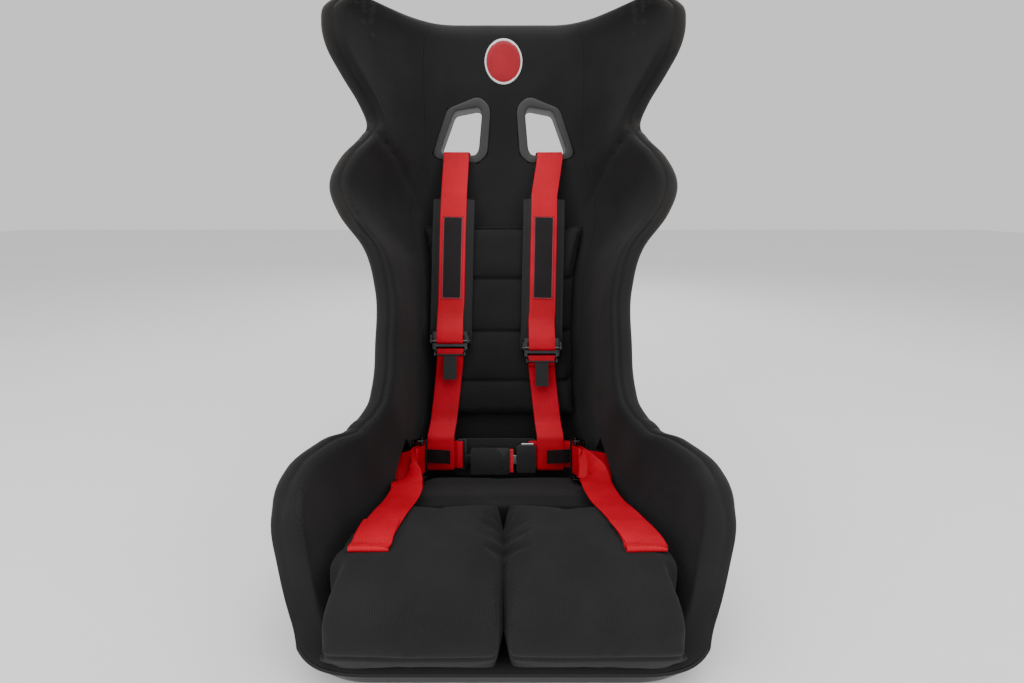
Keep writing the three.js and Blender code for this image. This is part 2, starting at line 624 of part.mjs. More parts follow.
function pullTab(turn) {
  const pin = new THREE.CylinderGeometry(TAB.r, TAB.r, 2 * (EAR.x - GAP), 16).rotateZ(Math.PI / 2);
  const tongue = box(-TAB.width / 2, TAB.width / 2, -TAB.length, -1, -TAB.thick / 2, TAB.thick / 2);
  return flipped(join(pin, tongue).rotateX(turn).translate(0, TAB.v, TAB.n));
}

function addAdjuster(label, matrix, tabTurn) {
  add(`${label}_adjuster`, adjusterFrame(), finish.steel, matrix);
  const bar = new THREE.CylinderGeometry(LOCK_BAR.r, LOCK_BAR.r, LOCK_BAR.length, 16).rotateZ(Math.PI / 2);
  add(`${label}_lock_bar`, bar.translate(0, LOCK_BAR.v, LOCK_BAR.n), finish.steel, matrix);
  add(`${label}_pull_tab`, pullTab(tabTurn), finish.leather, matrix);
}

for (const [label, h] of Object.entries(HARNESS)) {
  addShoulderWebbing(label, h);
  addAdjuster(`shoulder_${label}`, frameAt(onBack(h.adjuster[0], h.adjuster[1], REST_LEVEL), ACROSS_BACK, UP), 0);
}

// Lap belt: a link from the buckle or tongue to each lap adjuster, and a belt from the adjuster out through the
// flank, whose free tail lies forward over the cushion
const LAP = { v: -203, n: 15, adjusterN: 51, headingX: 0.25, headingY: -0.97 };
const LINK_ENDS = {
  left: [
    [-90, 12.9], [-86, 14], [-80.5, 14], [-77.6, 14.6], [-76.9, 17], [-77.6, 19.4], [-80.5, 20], [-87, 19.6],
    [-92, 15.4],
  ],
  right: [[48, LAP.n], [70, LAP.n]],
};

function lapFrame(h) {
  const heading = new THREE.Vector3(h.side * LAP.headingX, LAP.headingY, 0);
  heading.addScaledVector(UP, -heading.dot(UP)).normalize();
  return frameAt(onBack(h.lapX, LAP.v, LAP.adjusterN), UP.clone().multiplyScalar(-h.side), heading);
}

function addLapWebbing(label, h) {
  const matrix = lapFrame(h);
  const wide = UP.clone().multiplyScalar(-h.side);
  const local = (v, n) => new THREE.Vector3(0, v, n).applyMatrix4(matrix);
  const flat = new THREE.Vector3(-h.side, 0, 0);
  const blend = (t) => wide.clone().multiplyScalar(1 - t).addScaledVector(flat, t).normalize();

  const link = [
    ...LINK_ENDS[label].map(([x, n]) => [onBack(x, LAP.v, n), wide]),
    [onBack(h.side * 112, LAP.v, LAP.n), wide], [onBack(h.lapX - h.side * 13, LAP.v, LAP.n), wide],
    [local(-31, 2.6), wide], [local(-24, 4.2), wide], [local(-17.5, 4.5), wide], [local(-13.7, 4.3), wide],
    [local(-12.7, 1.5), wide], [local(-13.7, -1.3), wide], [local(-17.5, -1.5), wide], [local(-25, -1.7), wide],
  ];
  add(`lap_link_${label}`, ribbon(link, WEB_WIDTH, WEB_THICK), finish.webbing);

  const across = new THREE.Vector3(0, Math.cos(LAP_SLOT.tilt), Math.sin(LAP_SLOT.tilt)).multiplyScalar(-h.side);
  const turn = (t) => wide.clone().multiplyScalar(1 - t).addScaledVector(across, t).normalize();
  const through = (x, y, z) => new THREE.Vector3(h.side * x, y, z);
  const down = new THREE.Vector3(0, -h.side, 0);
  const belt = [
    ...LAP_LOOP.map(([x, z]) => [through(x, LAP_SLOT.y, z), down]),
    [through(264, LAP_SLOT.y, 120), across], [through(254, LAP_SLOT.y, LAP_SLOT.z), across],
    [through(206, LAP_SLOT.y, LAP_SLOT.z), across], [through(184, LAP_SLOT.y, LAP_SLOT.z), across],
    [local(36, 16.5), turn(0.5)], [local(24, 16), turn(0.12)],
    [local(10, 15.5), wide], [local(1.5, 15.5), wide], [local(-1.7, 14.2), wide], [local(-3, 11), wide],
    [local(-1.7, 7.8), wide], [local(1.5, 6.5), wide], [local(14, 6.5), wide], [local(26, 6.2), wide],
  ];
  const rest = TAIL_ROUTE[label];
  for (const [x, y, z, t] of rest) belt.push([new THREE.Vector3(x, y, z), blend(t)]);
  add(`lap_belt_${label}`, ribbon(belt, WEB_WIDTH, WEB_THICK), finish.webbing);
}

// The belt's outer end, looped round the bar of its anchor plate beside the shell; x and z
const LAP_LOOP = [
  [271.6, 112], [271.6, 88], [272.8, 81.6], [275.5, 80.2], [278.2, 81.6], [279.4, 88], [278.6, 100], [273, 113],
];

// Tail routes: x, y, z and how far the webbing has turned from upright to flat
const TAIL_ROUTE = {
  left: [
    [-164, -2, 123, 0.3], [-160, -22, 128, 0.75], [-156, -44, 131, 1], [-153, -66, 131, 1], [-156, -100, 134, 1],
    [-160, -140, 144, 1], [-163, -180, 153, 1], [-165, -215, 158.5, 1], [-165, -238, 159.5, 1],
  ],
  right: [
    [150, 3, 124, 0.35], [150, -18, 129, 0.75], [150, -42, 131, 1], [152, -66, 131, 1], [157, -100, 134, 1],
    [164, -140, 144, 1], [170, -180, 153, 1], [174, -215, 158.5, 1], [175, -238, 159.5, 1],
  ],
};

for (const [label, h] of Object.entries(HARNESS)) {
  addAdjuster(`lap_${label}`, lapFrame(h), -Math.PI / 2);
  addLapWebbing(label, h);
}

// Buckle, in the harness frame: x, v and n directly
const BUCKLE = { x0: -61, x1: 12, v0: -237, v1: -188, back: 13, split: 24, front: 34, wall: 2.4 };
const BUTTON = { x0: -6, x1: 18.5 };

function roundedPlate(x0, x1, v0, v1, n0, n1, r) {
  const corners = [[x1 - r, v1 - r, 0], [x0 + r, v1 - r, 1], [x0 + r, v0 + r, 2], [x1 - r, v0 + r, 3]];
  const outline = corners.flatMap(([cx, cv, quarter]) => [0, 1, 2, 3].map((i) => {
    const angle = (quarter + i / 3) * (Math.PI / 2);
    return [cx + r * Math.cos(angle), cv + r * Math.sin(angle)];
  }));
  return extrude(outline, n1 - n0).translate(0, 0, n0);
}

function coil(x0, radius, wire, turns, pitch, v, n) {
  const steps = turns * 12;
  const points = Array.from({ length: steps + 1 }, (_, i) => {
    const angle = (i / 12) * 2 * Math.PI;
    return new THREE.Vector3(x0 + (i / 12) * pitch, v + radius * Math.cos(angle), n + radius * Math.sin(angle));
  });
  const around = (i) => new THREE.Vector2(wire * Math.cos((i * Math.PI) / 3), wire * Math.sin((i * Math.PI) / 3));
  const ring = new THREE.Shape(Array.from({ length: 6 }, (_, i) => around(i)));
  const extrudePath = new THREE.CatmullRomCurve3(points);
  return new THREE.ExtrudeGeometry(ring, { steps, extrudePath, bevelEnabled: false });
}

function addBuckle() {
  const onHarness = frameAt(onBack(0, 0, 0), ACROSS_BACK, UP);
  const put = (name, geometry, material) => add(name, flipped(geometry), material, onHarness);
  const { x0, x1, v0, v1, wall } = BUCKLE;
  const hollow = box(x0 + 6, x1 + 9, v0 + wall, v1 - wall, BUCKLE.back + wall, BUCKLE.front - wall);
  const neck = box(x0 - 2, x0 + 8, -222, -203, 15.6, 18.4);
  const back = roundedPlate(x0, x1, v0, v1, BUCKLE.back, BUCKLE.split - GAP, 5);
  const front = roundedPlate(x0, x1, v0, v1, BUCKLE.split, BUCKLE.front, 5);
  put('buckle_cover_back', cut(back, hollow, neck), finish.plastic);
  put('buckle_cover_front', cut(front, hollow), finish.plastic);
  const lug = cut(box(-86, -69, -232, -174, 16, 18), box(-81, -74, -229, -177, 15, 19));
  const floor = box(-54.5, 4, -233, -192, 16, 18);
  put('buckle_frame', join(floor, box(-70, -53, -221, -204, 16, 18), lug), finish.steel);
  put('buckle_button', roundedPlate(BUTTON.x0, BUTTON.x1, v0 + 3, v1 - 3, 25, 31, 1.5), finish.red);
  const window = box(-27, -19, -218.3, -206.7, 17, 22);
  const blade = join(box(-34, 40, -221, -204, 18.7, 20.9), box(29, 52, -231, -190, 18.7, 20.9));
  put('tongue', cut(blade, window), finish.bright);
  put('buckle_latch', box(-26, -20, -217.5, -207.5, 18.9, 27), finish.steel);
  put('button_spring', coil(-18.6, 2.5, 0.5, 3, 1.5, -212.5, 28.2), finish.bright);
  const pocket = box(44, 80, -230, -176, 13.8, 16.3);
  const blind = box(18, 52.4, -231.4, -189.6, 18.4, 21.2);
  put('tongue_cover', cut(roundedPlate(24, 60.5, -236, -184, 12, 26, 5), pocket, blind), finish.plastic);
  put('buckle_pad', roundedPlate(-94, 66, -246, -175, 1, 8, 8), finish.cloth);
}

// Steel anchor plates at the outer ends of the belts, with a bolt hole each
function anchorPlate(width, low, high) {
  const w = width / 2;
  const outline = [[-14, low], [14, low], [w, high - 24], [w, high], [-w, high], [-w, high - 24]];
  const around = (i) => [6 * Math.cos((i * Math.PI) / 8), low + 16 + 6 * Math.sin((i * Math.PI) / 8)];
  const hole = Array.from({ length: 16 }, (_, i) => around(i));
  const window = [[-27, high - 18], [27, high - 18], [27, high - 6.4], [-27, high - 6.4]];
  return extrude(outline, 3, [hole, window]);
}

function addAnchors() {
  for (const [label, h] of Object.entries(HARNESS)) {
    const shoulder = anchorPlate(66, 406, 464).rotateX(Math.PI / 2).translate(h.slotX, 359, 0);
    add(`shoulder_anchor_plate_${label}`, flipped(shoulder), finish.steel);
    const lap = anchorPlate(66, 26, 90).rotateX(Math.PI / 2).rotateZ(Math.PI / 2);
    lap.translate(h.side < 0 ? -277 : 274, LAP_SLOT.y, 0);
    add(`lap_anchor_plate_${label}`, flipped(lap), finish.steel);
  }
}

// Round badge on the head pad
const BADGE = { y: 317.5, z: 822, halfWidth: 36, halfHeight: 40, tilt: THREE.MathUtils.degToRad(3.5) };

function addBadge() {
  const outline = Array.from({ length: 40 }, (_, i) => {
    const angle = (i * Math.PI) / 20;
    return [BADGE.halfWidth * Math.cos(angle), BADGE.halfHeight * Math.sin(angle)];
  });
  const up = new THREE.Vector3(0, Math.sin(BADGE.tilt), Math.cos(BADGE.tilt));
  const badge = extrude(outline, 1.4).translate(0, 0, 0.6);
  add('head_badge', badge, finish.red, frameAt(new THREE.Vector3(0, BADGE.y, BADGE.z), ACROSS_BACK, up));
}

addBuckle();
addAnchors();
addBadge();

export default seat;
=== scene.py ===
import math

import bmesh
import bpy
from mathutils import Matrix, Vector, noise


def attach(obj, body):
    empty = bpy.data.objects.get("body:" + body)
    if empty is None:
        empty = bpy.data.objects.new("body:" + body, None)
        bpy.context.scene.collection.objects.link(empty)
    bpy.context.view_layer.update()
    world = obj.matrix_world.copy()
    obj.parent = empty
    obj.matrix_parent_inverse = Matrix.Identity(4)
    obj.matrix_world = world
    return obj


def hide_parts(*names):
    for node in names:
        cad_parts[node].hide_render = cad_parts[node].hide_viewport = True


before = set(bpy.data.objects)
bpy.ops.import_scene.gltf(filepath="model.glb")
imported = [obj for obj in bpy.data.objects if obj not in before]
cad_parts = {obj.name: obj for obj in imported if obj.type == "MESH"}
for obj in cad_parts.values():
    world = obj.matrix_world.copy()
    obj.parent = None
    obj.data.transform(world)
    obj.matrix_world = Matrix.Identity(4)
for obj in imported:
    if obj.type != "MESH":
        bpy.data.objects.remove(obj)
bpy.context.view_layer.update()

# Lengths below are millimetres; meshes are written in metres
MM = 0.001
RECLINE = math.radians(16.5)

# The seat's own curve, from the front lip over the pan and up the back: y and z of the shell's outer face, lean of
# the section, half widths of the flat middle, corner and rim, height of the rim, and padding at middle, flank, rim
STATIONS = [
    (-304, 32, -24, 160, 226, 244, 30, 24, 30, 30), (-292, 10, -11, 160, 232, 258, 96, 38, 36, 36),
    (-262, 0, -2, 160, 238, 272, 166, 48, 40, 40), (-215, 0, 4, 160, 240, 280, 206, 46, 42, 42),
    (-150, 0, 9, 158, 238, 281, 226, 42, 44, 42), (-60, 0, 16, 152, 228, 262, 240, 32, 42, 40),
    (30, 0, 27.7, 148, 216, 238, 263, 24, 38, 38), (102, 2, 34, 144, 206, 224, 289, 20, 32, 36),
    (150, 44, 41.1, 138, 200, 213, 283, 18, 28, 36), (181, 120, 51.1, 132, 194, 209, 252, 18, 26, 36),
    (200, 200, 61.5, 130, 191, 207, 223, 18, 25, 36), (220, 276, 72, 130, 188, 207, 210, 18, 25, 36),
    (248, 368, 73.5, 130, 188, 208, 206, 18, 25, 36), (267, 434, 73.5, 130, 195, 226, 210, 18, 26, 36),
    (282, 482, 73.5, 130, 207, 262, 213, 18, 28, 36), (295, 527, 73.5, 128, 214, 279, 208, 18, 30, 36),
    (310, 579, 73.5, 124, 206, 265, 190, 20, 30, 36), (321, 616, 73.5, 120, 195, 244, 166, 22, 30, 36),
    (330, 647, 74, 114, 189, 235, 150, 24, 30, 36), (338, 680, 76, 108, 187, 243, 162, 28, 32, 38),
    (346, 722, 79, 102, 189, 261, 194, 34, 36, 40), (354, 768, 83, 98, 190, 275, 220, 40, 38, 40),
    (359, 812, 86, 96, 188, 279, 226, 42, 38, 40), (361, 850, 89, 94, 183, 272, 222, 42, 38, 40),
    (361, 876, 92, 92, 174, 252, 206, 42, 38, 40), (361, 894, 95, 90, 160, 222, 178, 42, 38, 40),
]
SHELL_WALL = 4
BACKING = 4.6
END_ROUNDING = 34
FLAT_SHARE = 0.35
LINER_SHARE = 0.64
BOLSTER_SHARE = LINER_SHARE + 0.002
FULLNESS = 0.72
FACE_SPAN = 330
ROLL_SPAN = 57
JOIN_GAP = 0.1
SUEDE_FROM = 930
SUEDE_LEVEL = 505
SHARP_DEGREES = 40
MERGE = 1e-6

spine = [0.0]
for a, b in zip(STATIONS, STATIONS[1:]):
    spine.append(spine[-1] + math.hypot(b[0] - a[0], b[1] - a[1]))
LENGTH = spine[-1]
THIGH_END = spine[6] + 20
NECK = spine[18]
PAN_END = spine[8]

# Places of the sewn seams: distance along the spine, and distance across from the middle line in millimetres of
# cover, where the rim roll starts at 330 and ends at its outer foot at 387
RIM_SEAM = [(0, 366), (60, 364), (130, 354), (300, 350), (LENGTH, 350)]
SEAMS = [
    RIM_SEAM,
    [(60, 364), (52, 400)],
    [(363, 350), (372, 400)],
    [(1096, 350), (1110, 400)],
    [(1096, 350), (1074, 274), (1040, 222), (1004, 168)],
]


def clamp(value, low, high):
    return max(low, min(high, value))


def ease(k):
    return k * k * (3 - 2 * k)


def slope(column, i):
    def rise(a, b):
        return (STATIONS[b][column] - STATIONS[a][column]) / (spine[b] - spine[a])
    low, high = max(i - 1, 0), min(i + 1, len(STATIONS) - 1)
    if low == i or high == i:
        return rise(low, high)
    before, after = spine[i] - spine[low], spine[high] - spine[i]
    return (rise(low, i) * after + rise(i, high) * before) / (before + after)


def station(s):
    """The section's values at a distance s along the spine, and how far its padding has risen from the ends."""
    i = 0
    while i < len(STATIONS) - 2 and s > spine[i + 1]:
        i += 1
    h = spine[i + 1] - spine[i]
    t = (s - spine[i]) / h
    values = []
    for c in range(10):
        a = (2 * t**3 - 3 * t * t + 1) * STATIONS[i][c] + (t**3 - 2 * t * t + t) * h * slope(c, i)
        b = (3 * t * t - 2 * t**3) * STATIONS[i + 1][c] + (t**3 - t * t) * h * slope(c, i + 1)
        values.append(a + b)
    values[1] = max(values[1], 0)
    q = clamp(min(s, LENGTH - s) / END_ROUNDING, 0, 1)
    return s, values, max(math.sqrt(1 - (1 - q) ** 2), 0.12)


def section(st, t):
    """A point of the shell's outer face in its section plane, with the normal that points inwards."""
    _, _, _, flat, corner, rim, height = st[1][:7]
    if t < FLAT_SHARE:
        return flat * t / FLAT_SHARE, 0, 0, 1
    q = (t - FLAT_SHARE) / (1 - FLAT_SHARE)
    x1 = flat + (corner - flat) * FULLNESS
    x2 = rim + (corner - rim) * FULLNESS
    h2 = height * (1 - FULLNESS)
    x = (1 - q) ** 3 * flat + 3 * (1 - q) ** 2 * q * x1 + 3 * (1 - q) * q * q * x2 + q**3 * rim
    h = 3 * (1 - q) * q * q * h2 + q**3 * height
    dx = (1 - q) ** 2 * (x1 - flat) + 2 * (1 - q) * q * (x2 - x1) + q * q * (rim - x2)
    dh = 2 * (1 - q) * q * h2 + q * q * (height - h2)
    length = math.hypot(dx, dh)
    return x, h, -dh / length, dx / length


def padding(st, t):
    centre, side, edge = st[1][7:]
    depth = centre
    if t > FLAT_SHARE:
        q = (t - FLAT_SHARE) / (1 - FLAT_SHARE)
        depth = centre + (side - centre) * ease(2 * q) if q < 0.5 else side + (edge - side) * ease(2 * q - 1)
    return BACKING + (depth - BACKING) * st[2]


def place(st, side, x, h):
    lean = math.radians(st[1][2])
    return Vector((side * x, st[1][0] - math.sin(lean) * h, st[1][1] + math.cos(lean) * h))


def seam_pull(s, q):
    """How far the thread of the nearest seam draws the cover in."""
    pull = 0
    for seam in SEAMS:
        near = 1e9
        for (s0, q0), (s1, q1) in zip(seam, seam[1:]):
            ds, dq = s1 - s0, q1 - q0
            k = clamp(((s - s0) * ds + (q - q0) * dq) / (ds * ds + dq * dq), 0, 1)
            near = min(near, math.hypot(s - s0 - k * ds, q - q0 - k * dq))
        pull = max(pull, 3.2 * math.exp(-((near / 3.4) ** 2)) + 1.2 * math.exp(-((near / 11) ** 2)))
    return pull


def cover_point(st, u, lift=None):
    """A point of the padded face at share u across, with the soft waves that stretched cloth keeps."""
    t = abs(u)
    x, h, nx, nh = section(st, t)
    if lift is None:
        p = place(st, math.copysign(1, u), x, h)
        lift = padding(st, t) - seam_pull(st[0], FACE_SPAN * t) * st[2] + 0.7 * noise.noise(p / 45)
    return place(st, math.copysign(1, u), x + nx * lift, h + nh * lift)


def grid(name, rings, uv=None, looped=False, smooth=SHARP_DEGREES):
    """A skin through closed rings of points, filled at its ends, or joined end to end where it is looped."""
    rows, columns = len(rings) + (1 if looped else 0), len(rings[0]) + 1
    bm = bmesh.new()
    bmesh.ops.create_grid(bm, x_segments=rows - 1, y_segments=columns - 1, size=1)
    layer = bm.loops.layers.uv.new("cloth")
    where = {}
    for v in bm.verts:
        where[v] = round((v.co.x + 1) / 2 * (rows - 1)), round((v.co.y + 1) / 2 * (columns - 1))
    for face in bm.faces:
        for loop in face.loops:
            i, j = where[loop.vert]
            loop[layer].uv = uv[i][j] if uv else (i * 0.01, j * 0.01)
    for v, (i, j) in where.items():
        v.co = rings[i % len(rings)][j % len(rings[0])] * MM
    bmesh.ops.remove_doubles(bm, verts=bm.verts, dist=MERGE)
    bmesh.ops.holes_fill(bm, edges=[e for e in bm.edges if e.is_boundary], sides=0)
    bmesh.ops.recalc_face_normals(bm, faces=bm.faces)
    return finish_mesh(name, bm, smooth)


def finish_mesh(name, bm, smooth=SHARP_DEGREES):
    """Makes the shape a piece of the scene, shaded smooth up to an angle in degrees."""
    for face in bm.faces:
        face.smooth = True
    mesh = bpy.data.meshes.new(name)
    bm.to_mesh(mesh)
    bm.free()
    mesh.set_sharp_from_angle(angle=math.radians(smooth))
    obj = bpy.data.objects.new(name, mesh)
    bpy.context.collection.objects.link(obj)
    return obj


def bake(obj):
    """Applies the piece's modifiers to its mesh."""
    bpy.context.view_layer.update()
    depsgraph = bpy.context.evaluated_depsgraph_get()
    shaped = obj.evaluated_get(depsgraph)
    mesh = bpy.data.meshes.new_from_object(shaped, preserve_all_data_layers=True, depsgraph=depsgraph)
    obj.modifiers.clear()
    obj.data = mesh


def carve(obj, cutters):
    """Cuts the plugs out of the piece, and clears them away."""
    for cutter in cutters:
        modifier = obj.modifiers.new("carve", "BOOLEAN")
        modifier.object = cutter
        modifier.solver = "EXACT"
        bake(obj)
        bpy.data.objects.remove(cutter)
    obj.data.set_sharp_from_angle(angle=math.radians(SHARP_DEGREES))


def cuboid(name, size, matrix):
    bm = bmesh.new()
    bmesh.ops.create_cube(bm, size=1)
    bmesh.ops.scale(bm, vec=[v * MM for v in size], verts=bm.verts)
    bmesh.ops.transform(bm, matrix=matrix, verts=bm.verts)
    return finish_mesh(name, bm)


def dress(obj, material, body, node):
    """Gives the piece its finish and lets it stand for its solid."""
    obj.data.materials.clear()
    obj.data.materials.append(material)
    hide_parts(node)
    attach(obj, body)


def add_trim(obj, material, body="seat"):
    """Gives a piece that has no solid of its own its finish and its body."""
    obj.data.materials.append(material)
    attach(obj, body)


# Shared shader groups
def new_group(name, inputs, outputs):
    group = bpy.data.node_groups.new(name, "ShaderNodeTree")
    for label, kind, value in inputs:
        socket = group.interface.new_socket(label, in_out="INPUT", socket_type=kind)
        if value is not None:
            socket.default_value = value
    for label in outputs:
        group.interface.new_socket(label, in_out="OUTPUT", socket_type="NodeSocketFloat")
    return group, group.nodes.new("NodeGroupInput"), group.nodes.new("NodeGroupOutput")


def sums(tree):
    """Short makers for the nodes of one tree: sums and textures, wired as they are made."""
    def wire(value, socket):
        if isinstance(value, (int, float)):
            socket.default_value = value
        else:
            tree.links.new(value, socket)

    def math_node(operation, a, b=0.0, third=0.0):
        node = tree.nodes.new("ShaderNodeMath")
        node.operation = operation
        for value, socket in zip((a, b, third), node.inputs):
            wire(value, socket)
        return node.outputs[0]

    def cloud(vector, scale, detail=3.0, rough=0.5):
        node = tree.nodes.new("ShaderNodeTexNoise")
        tree.links.new(vector, node.inputs["Vector"])
        wire(scale, node.inputs["Scale"])
        node.inputs["Detail"].default_value = detail
        node.inputs["Roughness"].default_value = rough
        return node.outputs["Fac"]

    def axes(vector):
        node = tree.nodes.new("ShaderNodeSeparateXYZ")
        tree.links.new(vector, node.inputs[0])
        return node.outputs

    return math_node, cloud, axes


def twill_group():
    """Slanting ribs of knitted cloth, with the fuzz between them."""
    group, inside, out = new_group("Twill knit", [
        ("Vector", "NodeSocketVector", None), ("Pitch", "NodeSocketFloat", 0.004), ("Slant", "NodeSocketFloat", 1.0),
    ], ["Height", "Tone"])
    math_node, cloud, axes = sums(group)
    x, y, z = axes(inside.outputs["Vector"])
    upright = math_node("ADD", math_node("MULTIPLY", y, -0.8), z)
    across = math_node("MULTIPLY", x, inside.outputs["Slant"])
    turn = math_node("DIVIDE", math_node("ADD", across, upright), inside.outputs["Pitch"])
    rib = math_node("ABSOLUTE", math_node("SINE", math_node("MULTIPLY", turn, math.pi)))
    cross = math_node("DIVIDE", math_node("SUBTRACT", across, upright), inside.outputs["Pitch"])
    stitch = math_node("SINE", math_node("MULTIPLY", cross, 3.2 * math.pi))
    fuzz = cloud(inside.outputs["Vector"], 900.0)
    height = math_node("MULTIPLY_ADD", stitch, 0.18, rib)
    group.links.new(math_node("MULTIPLY_ADD", fuzz, 0.4, height), out.inputs["Height"])
    group.links.new(math_node("MULTIPLY_ADD", fuzz, 0.5, math_node("MULTIPLY", rib, 0.6)), out.inputs["Tone"])
    return group


def webbing_group():
    """Lengthwise ribs and the fine herringbone of woven belt webbing."""
    group, inside, out = new_group("Belt weave", [("Vector", "NodeSocketVector", None)], ["Height", "Tone"])
    math_node, cloud, axes = sums(group)
    x, y, _ = axes(inside.outputs["Vector"])
    ribs = math_node("SINE", math_node("MULTIPLY", x, 2 * math.pi / 0.0055))
    zigzag = math_node("PINGPONG", x, 0.0028)
    chevron = math_node("SINE", math_node("MULTIPLY", math_node("ADD", y, zigzag), 2 * math.pi / 0.0016))
    fuzz = cloud(inside.outputs["Vector"], 700.0)
    height = math_node("MULTIPLY_ADD", chevron, 0.35, math_node("MULTIPLY", ribs, 0.22))
    group.links.new(math_node("MULTIPLY_ADD", fuzz, 0.3, height), out.inputs["Height"])
    group.links.new(math_node("MULTIPLY_ADD", height, 0.22, math_node("MULTIPLY", fuzz, 0.6)), out.inputs["Tone"])
    return group


def mottle_group():
    """Cloudy variation in two sizes, for handling marks, nap and moulding."""
    group, inside, out = new_group("Mottle", [
        ("Vector", "NodeSocketVector", None), ("Broad", "NodeSocketFloat", 18.0), ("Fine", "NodeSocketFloat", 400.0),
    ], ["Patch", "Grain"])
    _, cloud, _ = sums(group)
    group.links.new(cloud(inside.outputs["Vector"], inside.outputs["Broad"], 4.0), out.inputs["Patch"])
    group.links.new(cloud(inside.outputs["Vector"], inside.outputs["Fine"], 5.0, 0.65), out.inputs["Grain"])
    return group


TWILL = twill_group()
WEAVE = webbing_group()
MOTTLE = mottle_group()


def finish_material(name, dark, light, rough, bump, depth, pattern=None, uv=False, metallic=0.0, sheen=0.0, coat=0.0,
                    pitch=0.004, slant=1.0, broad=18.0, fine=400.0, specular=0.5):
    """A finish whose colour runs from dark to light and whose surface carries its weave, nap or grain."""
    material = bpy.data.materials.new(name)
    material.use_nodes = True
    tree = material.node_tree
    shader = tree.nodes["Principled BSDF"]
    coordinates = tree.nodes.new("ShaderNodeTexCoord")
    vector = coordinates.outputs["UV"] if uv else coordinates.outputs["Object"]
    mottle = tree.nodes.new("ShaderNodeGroup")
    mottle.node_tree = MOTTLE
    tree.links.new(coordinates.outputs["Object"], mottle.inputs["Vector"])
    mottle.inputs["Broad"].default_value = broad
    mottle.inputs["Fine"].default_value = fine
    math_node, _, _ = sums(tree)
    height, tone = mottle.outputs["Grain"], mottle.outputs["Grain"]
    if pattern:
        weave = tree.nodes.new("ShaderNodeGroup")
        weave.node_tree = pattern
        tree.links.new(vector, weave.inputs["Vector"])
        if pattern == TWILL:
            weave.inputs["Pitch"].default_value = pitch
            weave.inputs["Slant"].default_value = slant
        height, tone = weave.outputs["Height"], weave.outputs["Tone"]
    shade = math_node("MULTIPLY_ADD", mottle.outputs["Patch"], 0.6, math_node("MULTIPLY", tone, 0.5))
    ramp = tree.nodes.new("ShaderNodeValToRGB")
    ramp.color_ramp.elements[0].position = 0.25
    ramp.color_ramp.elements[1].position = 0.85
    ramp.color_ramp.elements[0].color = (*dark, 1)
    ramp.color_ramp.elements[1].color = (*light, 1)
    tree.links.new(shade, ramp.inputs["Fac"])
    tree.links.new(ramp.outputs["Color"], shader.inputs["Base Color"])
    spread = math_node("MULTIPLY_ADD", mottle.outputs["Patch"], 0.16, rough - 0.08)
    tree.links.new(spread, shader.inputs["Roughness"])
    dent = tree.nodes.new("ShaderNodeBump")
    dent.inputs["Strength"].default_value = bump
    dent.inputs["Distance"].default_value = depth
    tree.links.new(height, dent.inputs["Height"])
    tree.links.new(dent.outputs["Normal"], shader.inputs["Normal"])
    shader.inputs["Metallic"].default_value = metallic
    shader.inputs["Sheen Weight"].default_value = sheen
    shader.inputs["Coat Weight"].default_value = coat
    shader.inputs["Specular IOR Level"].default_value = specular
    return material


KNIT = finish_material("Charcoal knit", (0.004, 0.004, 0.0045), (0.015, 0.015, 0.016), 0.85, 0.5, 0.0005,
                       pattern=TWILL, sheen=0.04, pitch=0.0026, specular=0.2)
KNIT_TURNED = finish_material("Charcoal knit turned", (0.004, 0.004, 0.0045), (0.015, 0.015, 0.016), 0.85, 0.5, 0.0005,
                              pattern=TWILL, sheen=0.04, pitch=0.0026, slant=-1.0, specular=0.2)
COVER = finish_material("Stretch cover", (0.004, 0.004, 0.0045), (0.014, 0.014, 0.015), 0.8, 0.4, 0.0004,
                        pattern=TWILL, sheen=0.04, pitch=0.0024, specular=0.2)
SUEDE = finish_material("Rim suede", (0.009, 0.008, 0.0075), (0.024, 0.022, 0.020), 0.92, 0.35, 0.0005, sheen=0.12,
                        broad=26.0, fine=520.0, specular=0.15)
PAD_CLOTH = finish_material("Pad cloth", (0.004, 0.004, 0.0045), (0.014, 0.014, 0.015), 0.75, 0.5, 0.0005,
                            pattern=TWILL, sheen=0.1, pitch=0.0024, specular=0.3)
WEBBING = finish_material("Red webbing", (0.40, 0.0003, 0.008), (0.68, 0.001, 0.026), 0.6, 0.3, 0.0003,
                          pattern=WEAVE, uv=True, specular=0.18)
THREAD = finish_material("Belt thread", (0.34, 0.001, 0.008), (0.55, 0.004, 0.02), 0.6, 0.3, 0.0002)
PATCH = finish_material("Sewn patch", (0.006, 0.005, 0.0055), (0.018, 0.015, 0.016), 0.8, 0.4, 0.0003,
                        pattern=TWILL, pitch=0.0018, specular=0.2)
EDGING = finish_material("Patch edging", (0.42, 0.03, 0.06), (0.62, 0.07, 0.11), 0.65, 0.4, 0.0003, fine=900.0)
SHELL_GLOSS = finish_material("Moulded shell", (0.004, 0.004, 0.0045), (0.010, 0.010, 0.011), 0.42, 0.12, 0.0004,
                              coat=0.1, broad=9.0, fine=260.0, specular=0.25)
BEZEL = finish_material("Bezel plastic", (0.016, 0.016, 0.016), (0.036, 0.035, 0.034), 0.5, 0.22, 0.0003, fine=900.0)
BUCKLE = finish_material("Buckle plastic", (0.006, 0.006, 0.0065), (0.016, 0.016, 0.017), 0.28, 0.15, 0.0002,
                         coat=0.3, fine=700.0)
BLACK_STEEL = finish_material("Black chrome", (0.030, 0.031, 0.034), (0.085, 0.087, 0.092), 0.24, 0.1, 0.0002,
                              metallic=1.0, broad=40.0, fine=600.0)
BRIGHT_STEEL = finish_material("Bright steel", (0.42, 0.42, 0.44), (0.66, 0.66, 0.68), 0.2, 0.08, 0.0002,
                               metallic=1.0, broad=40.0, fine=600.0)
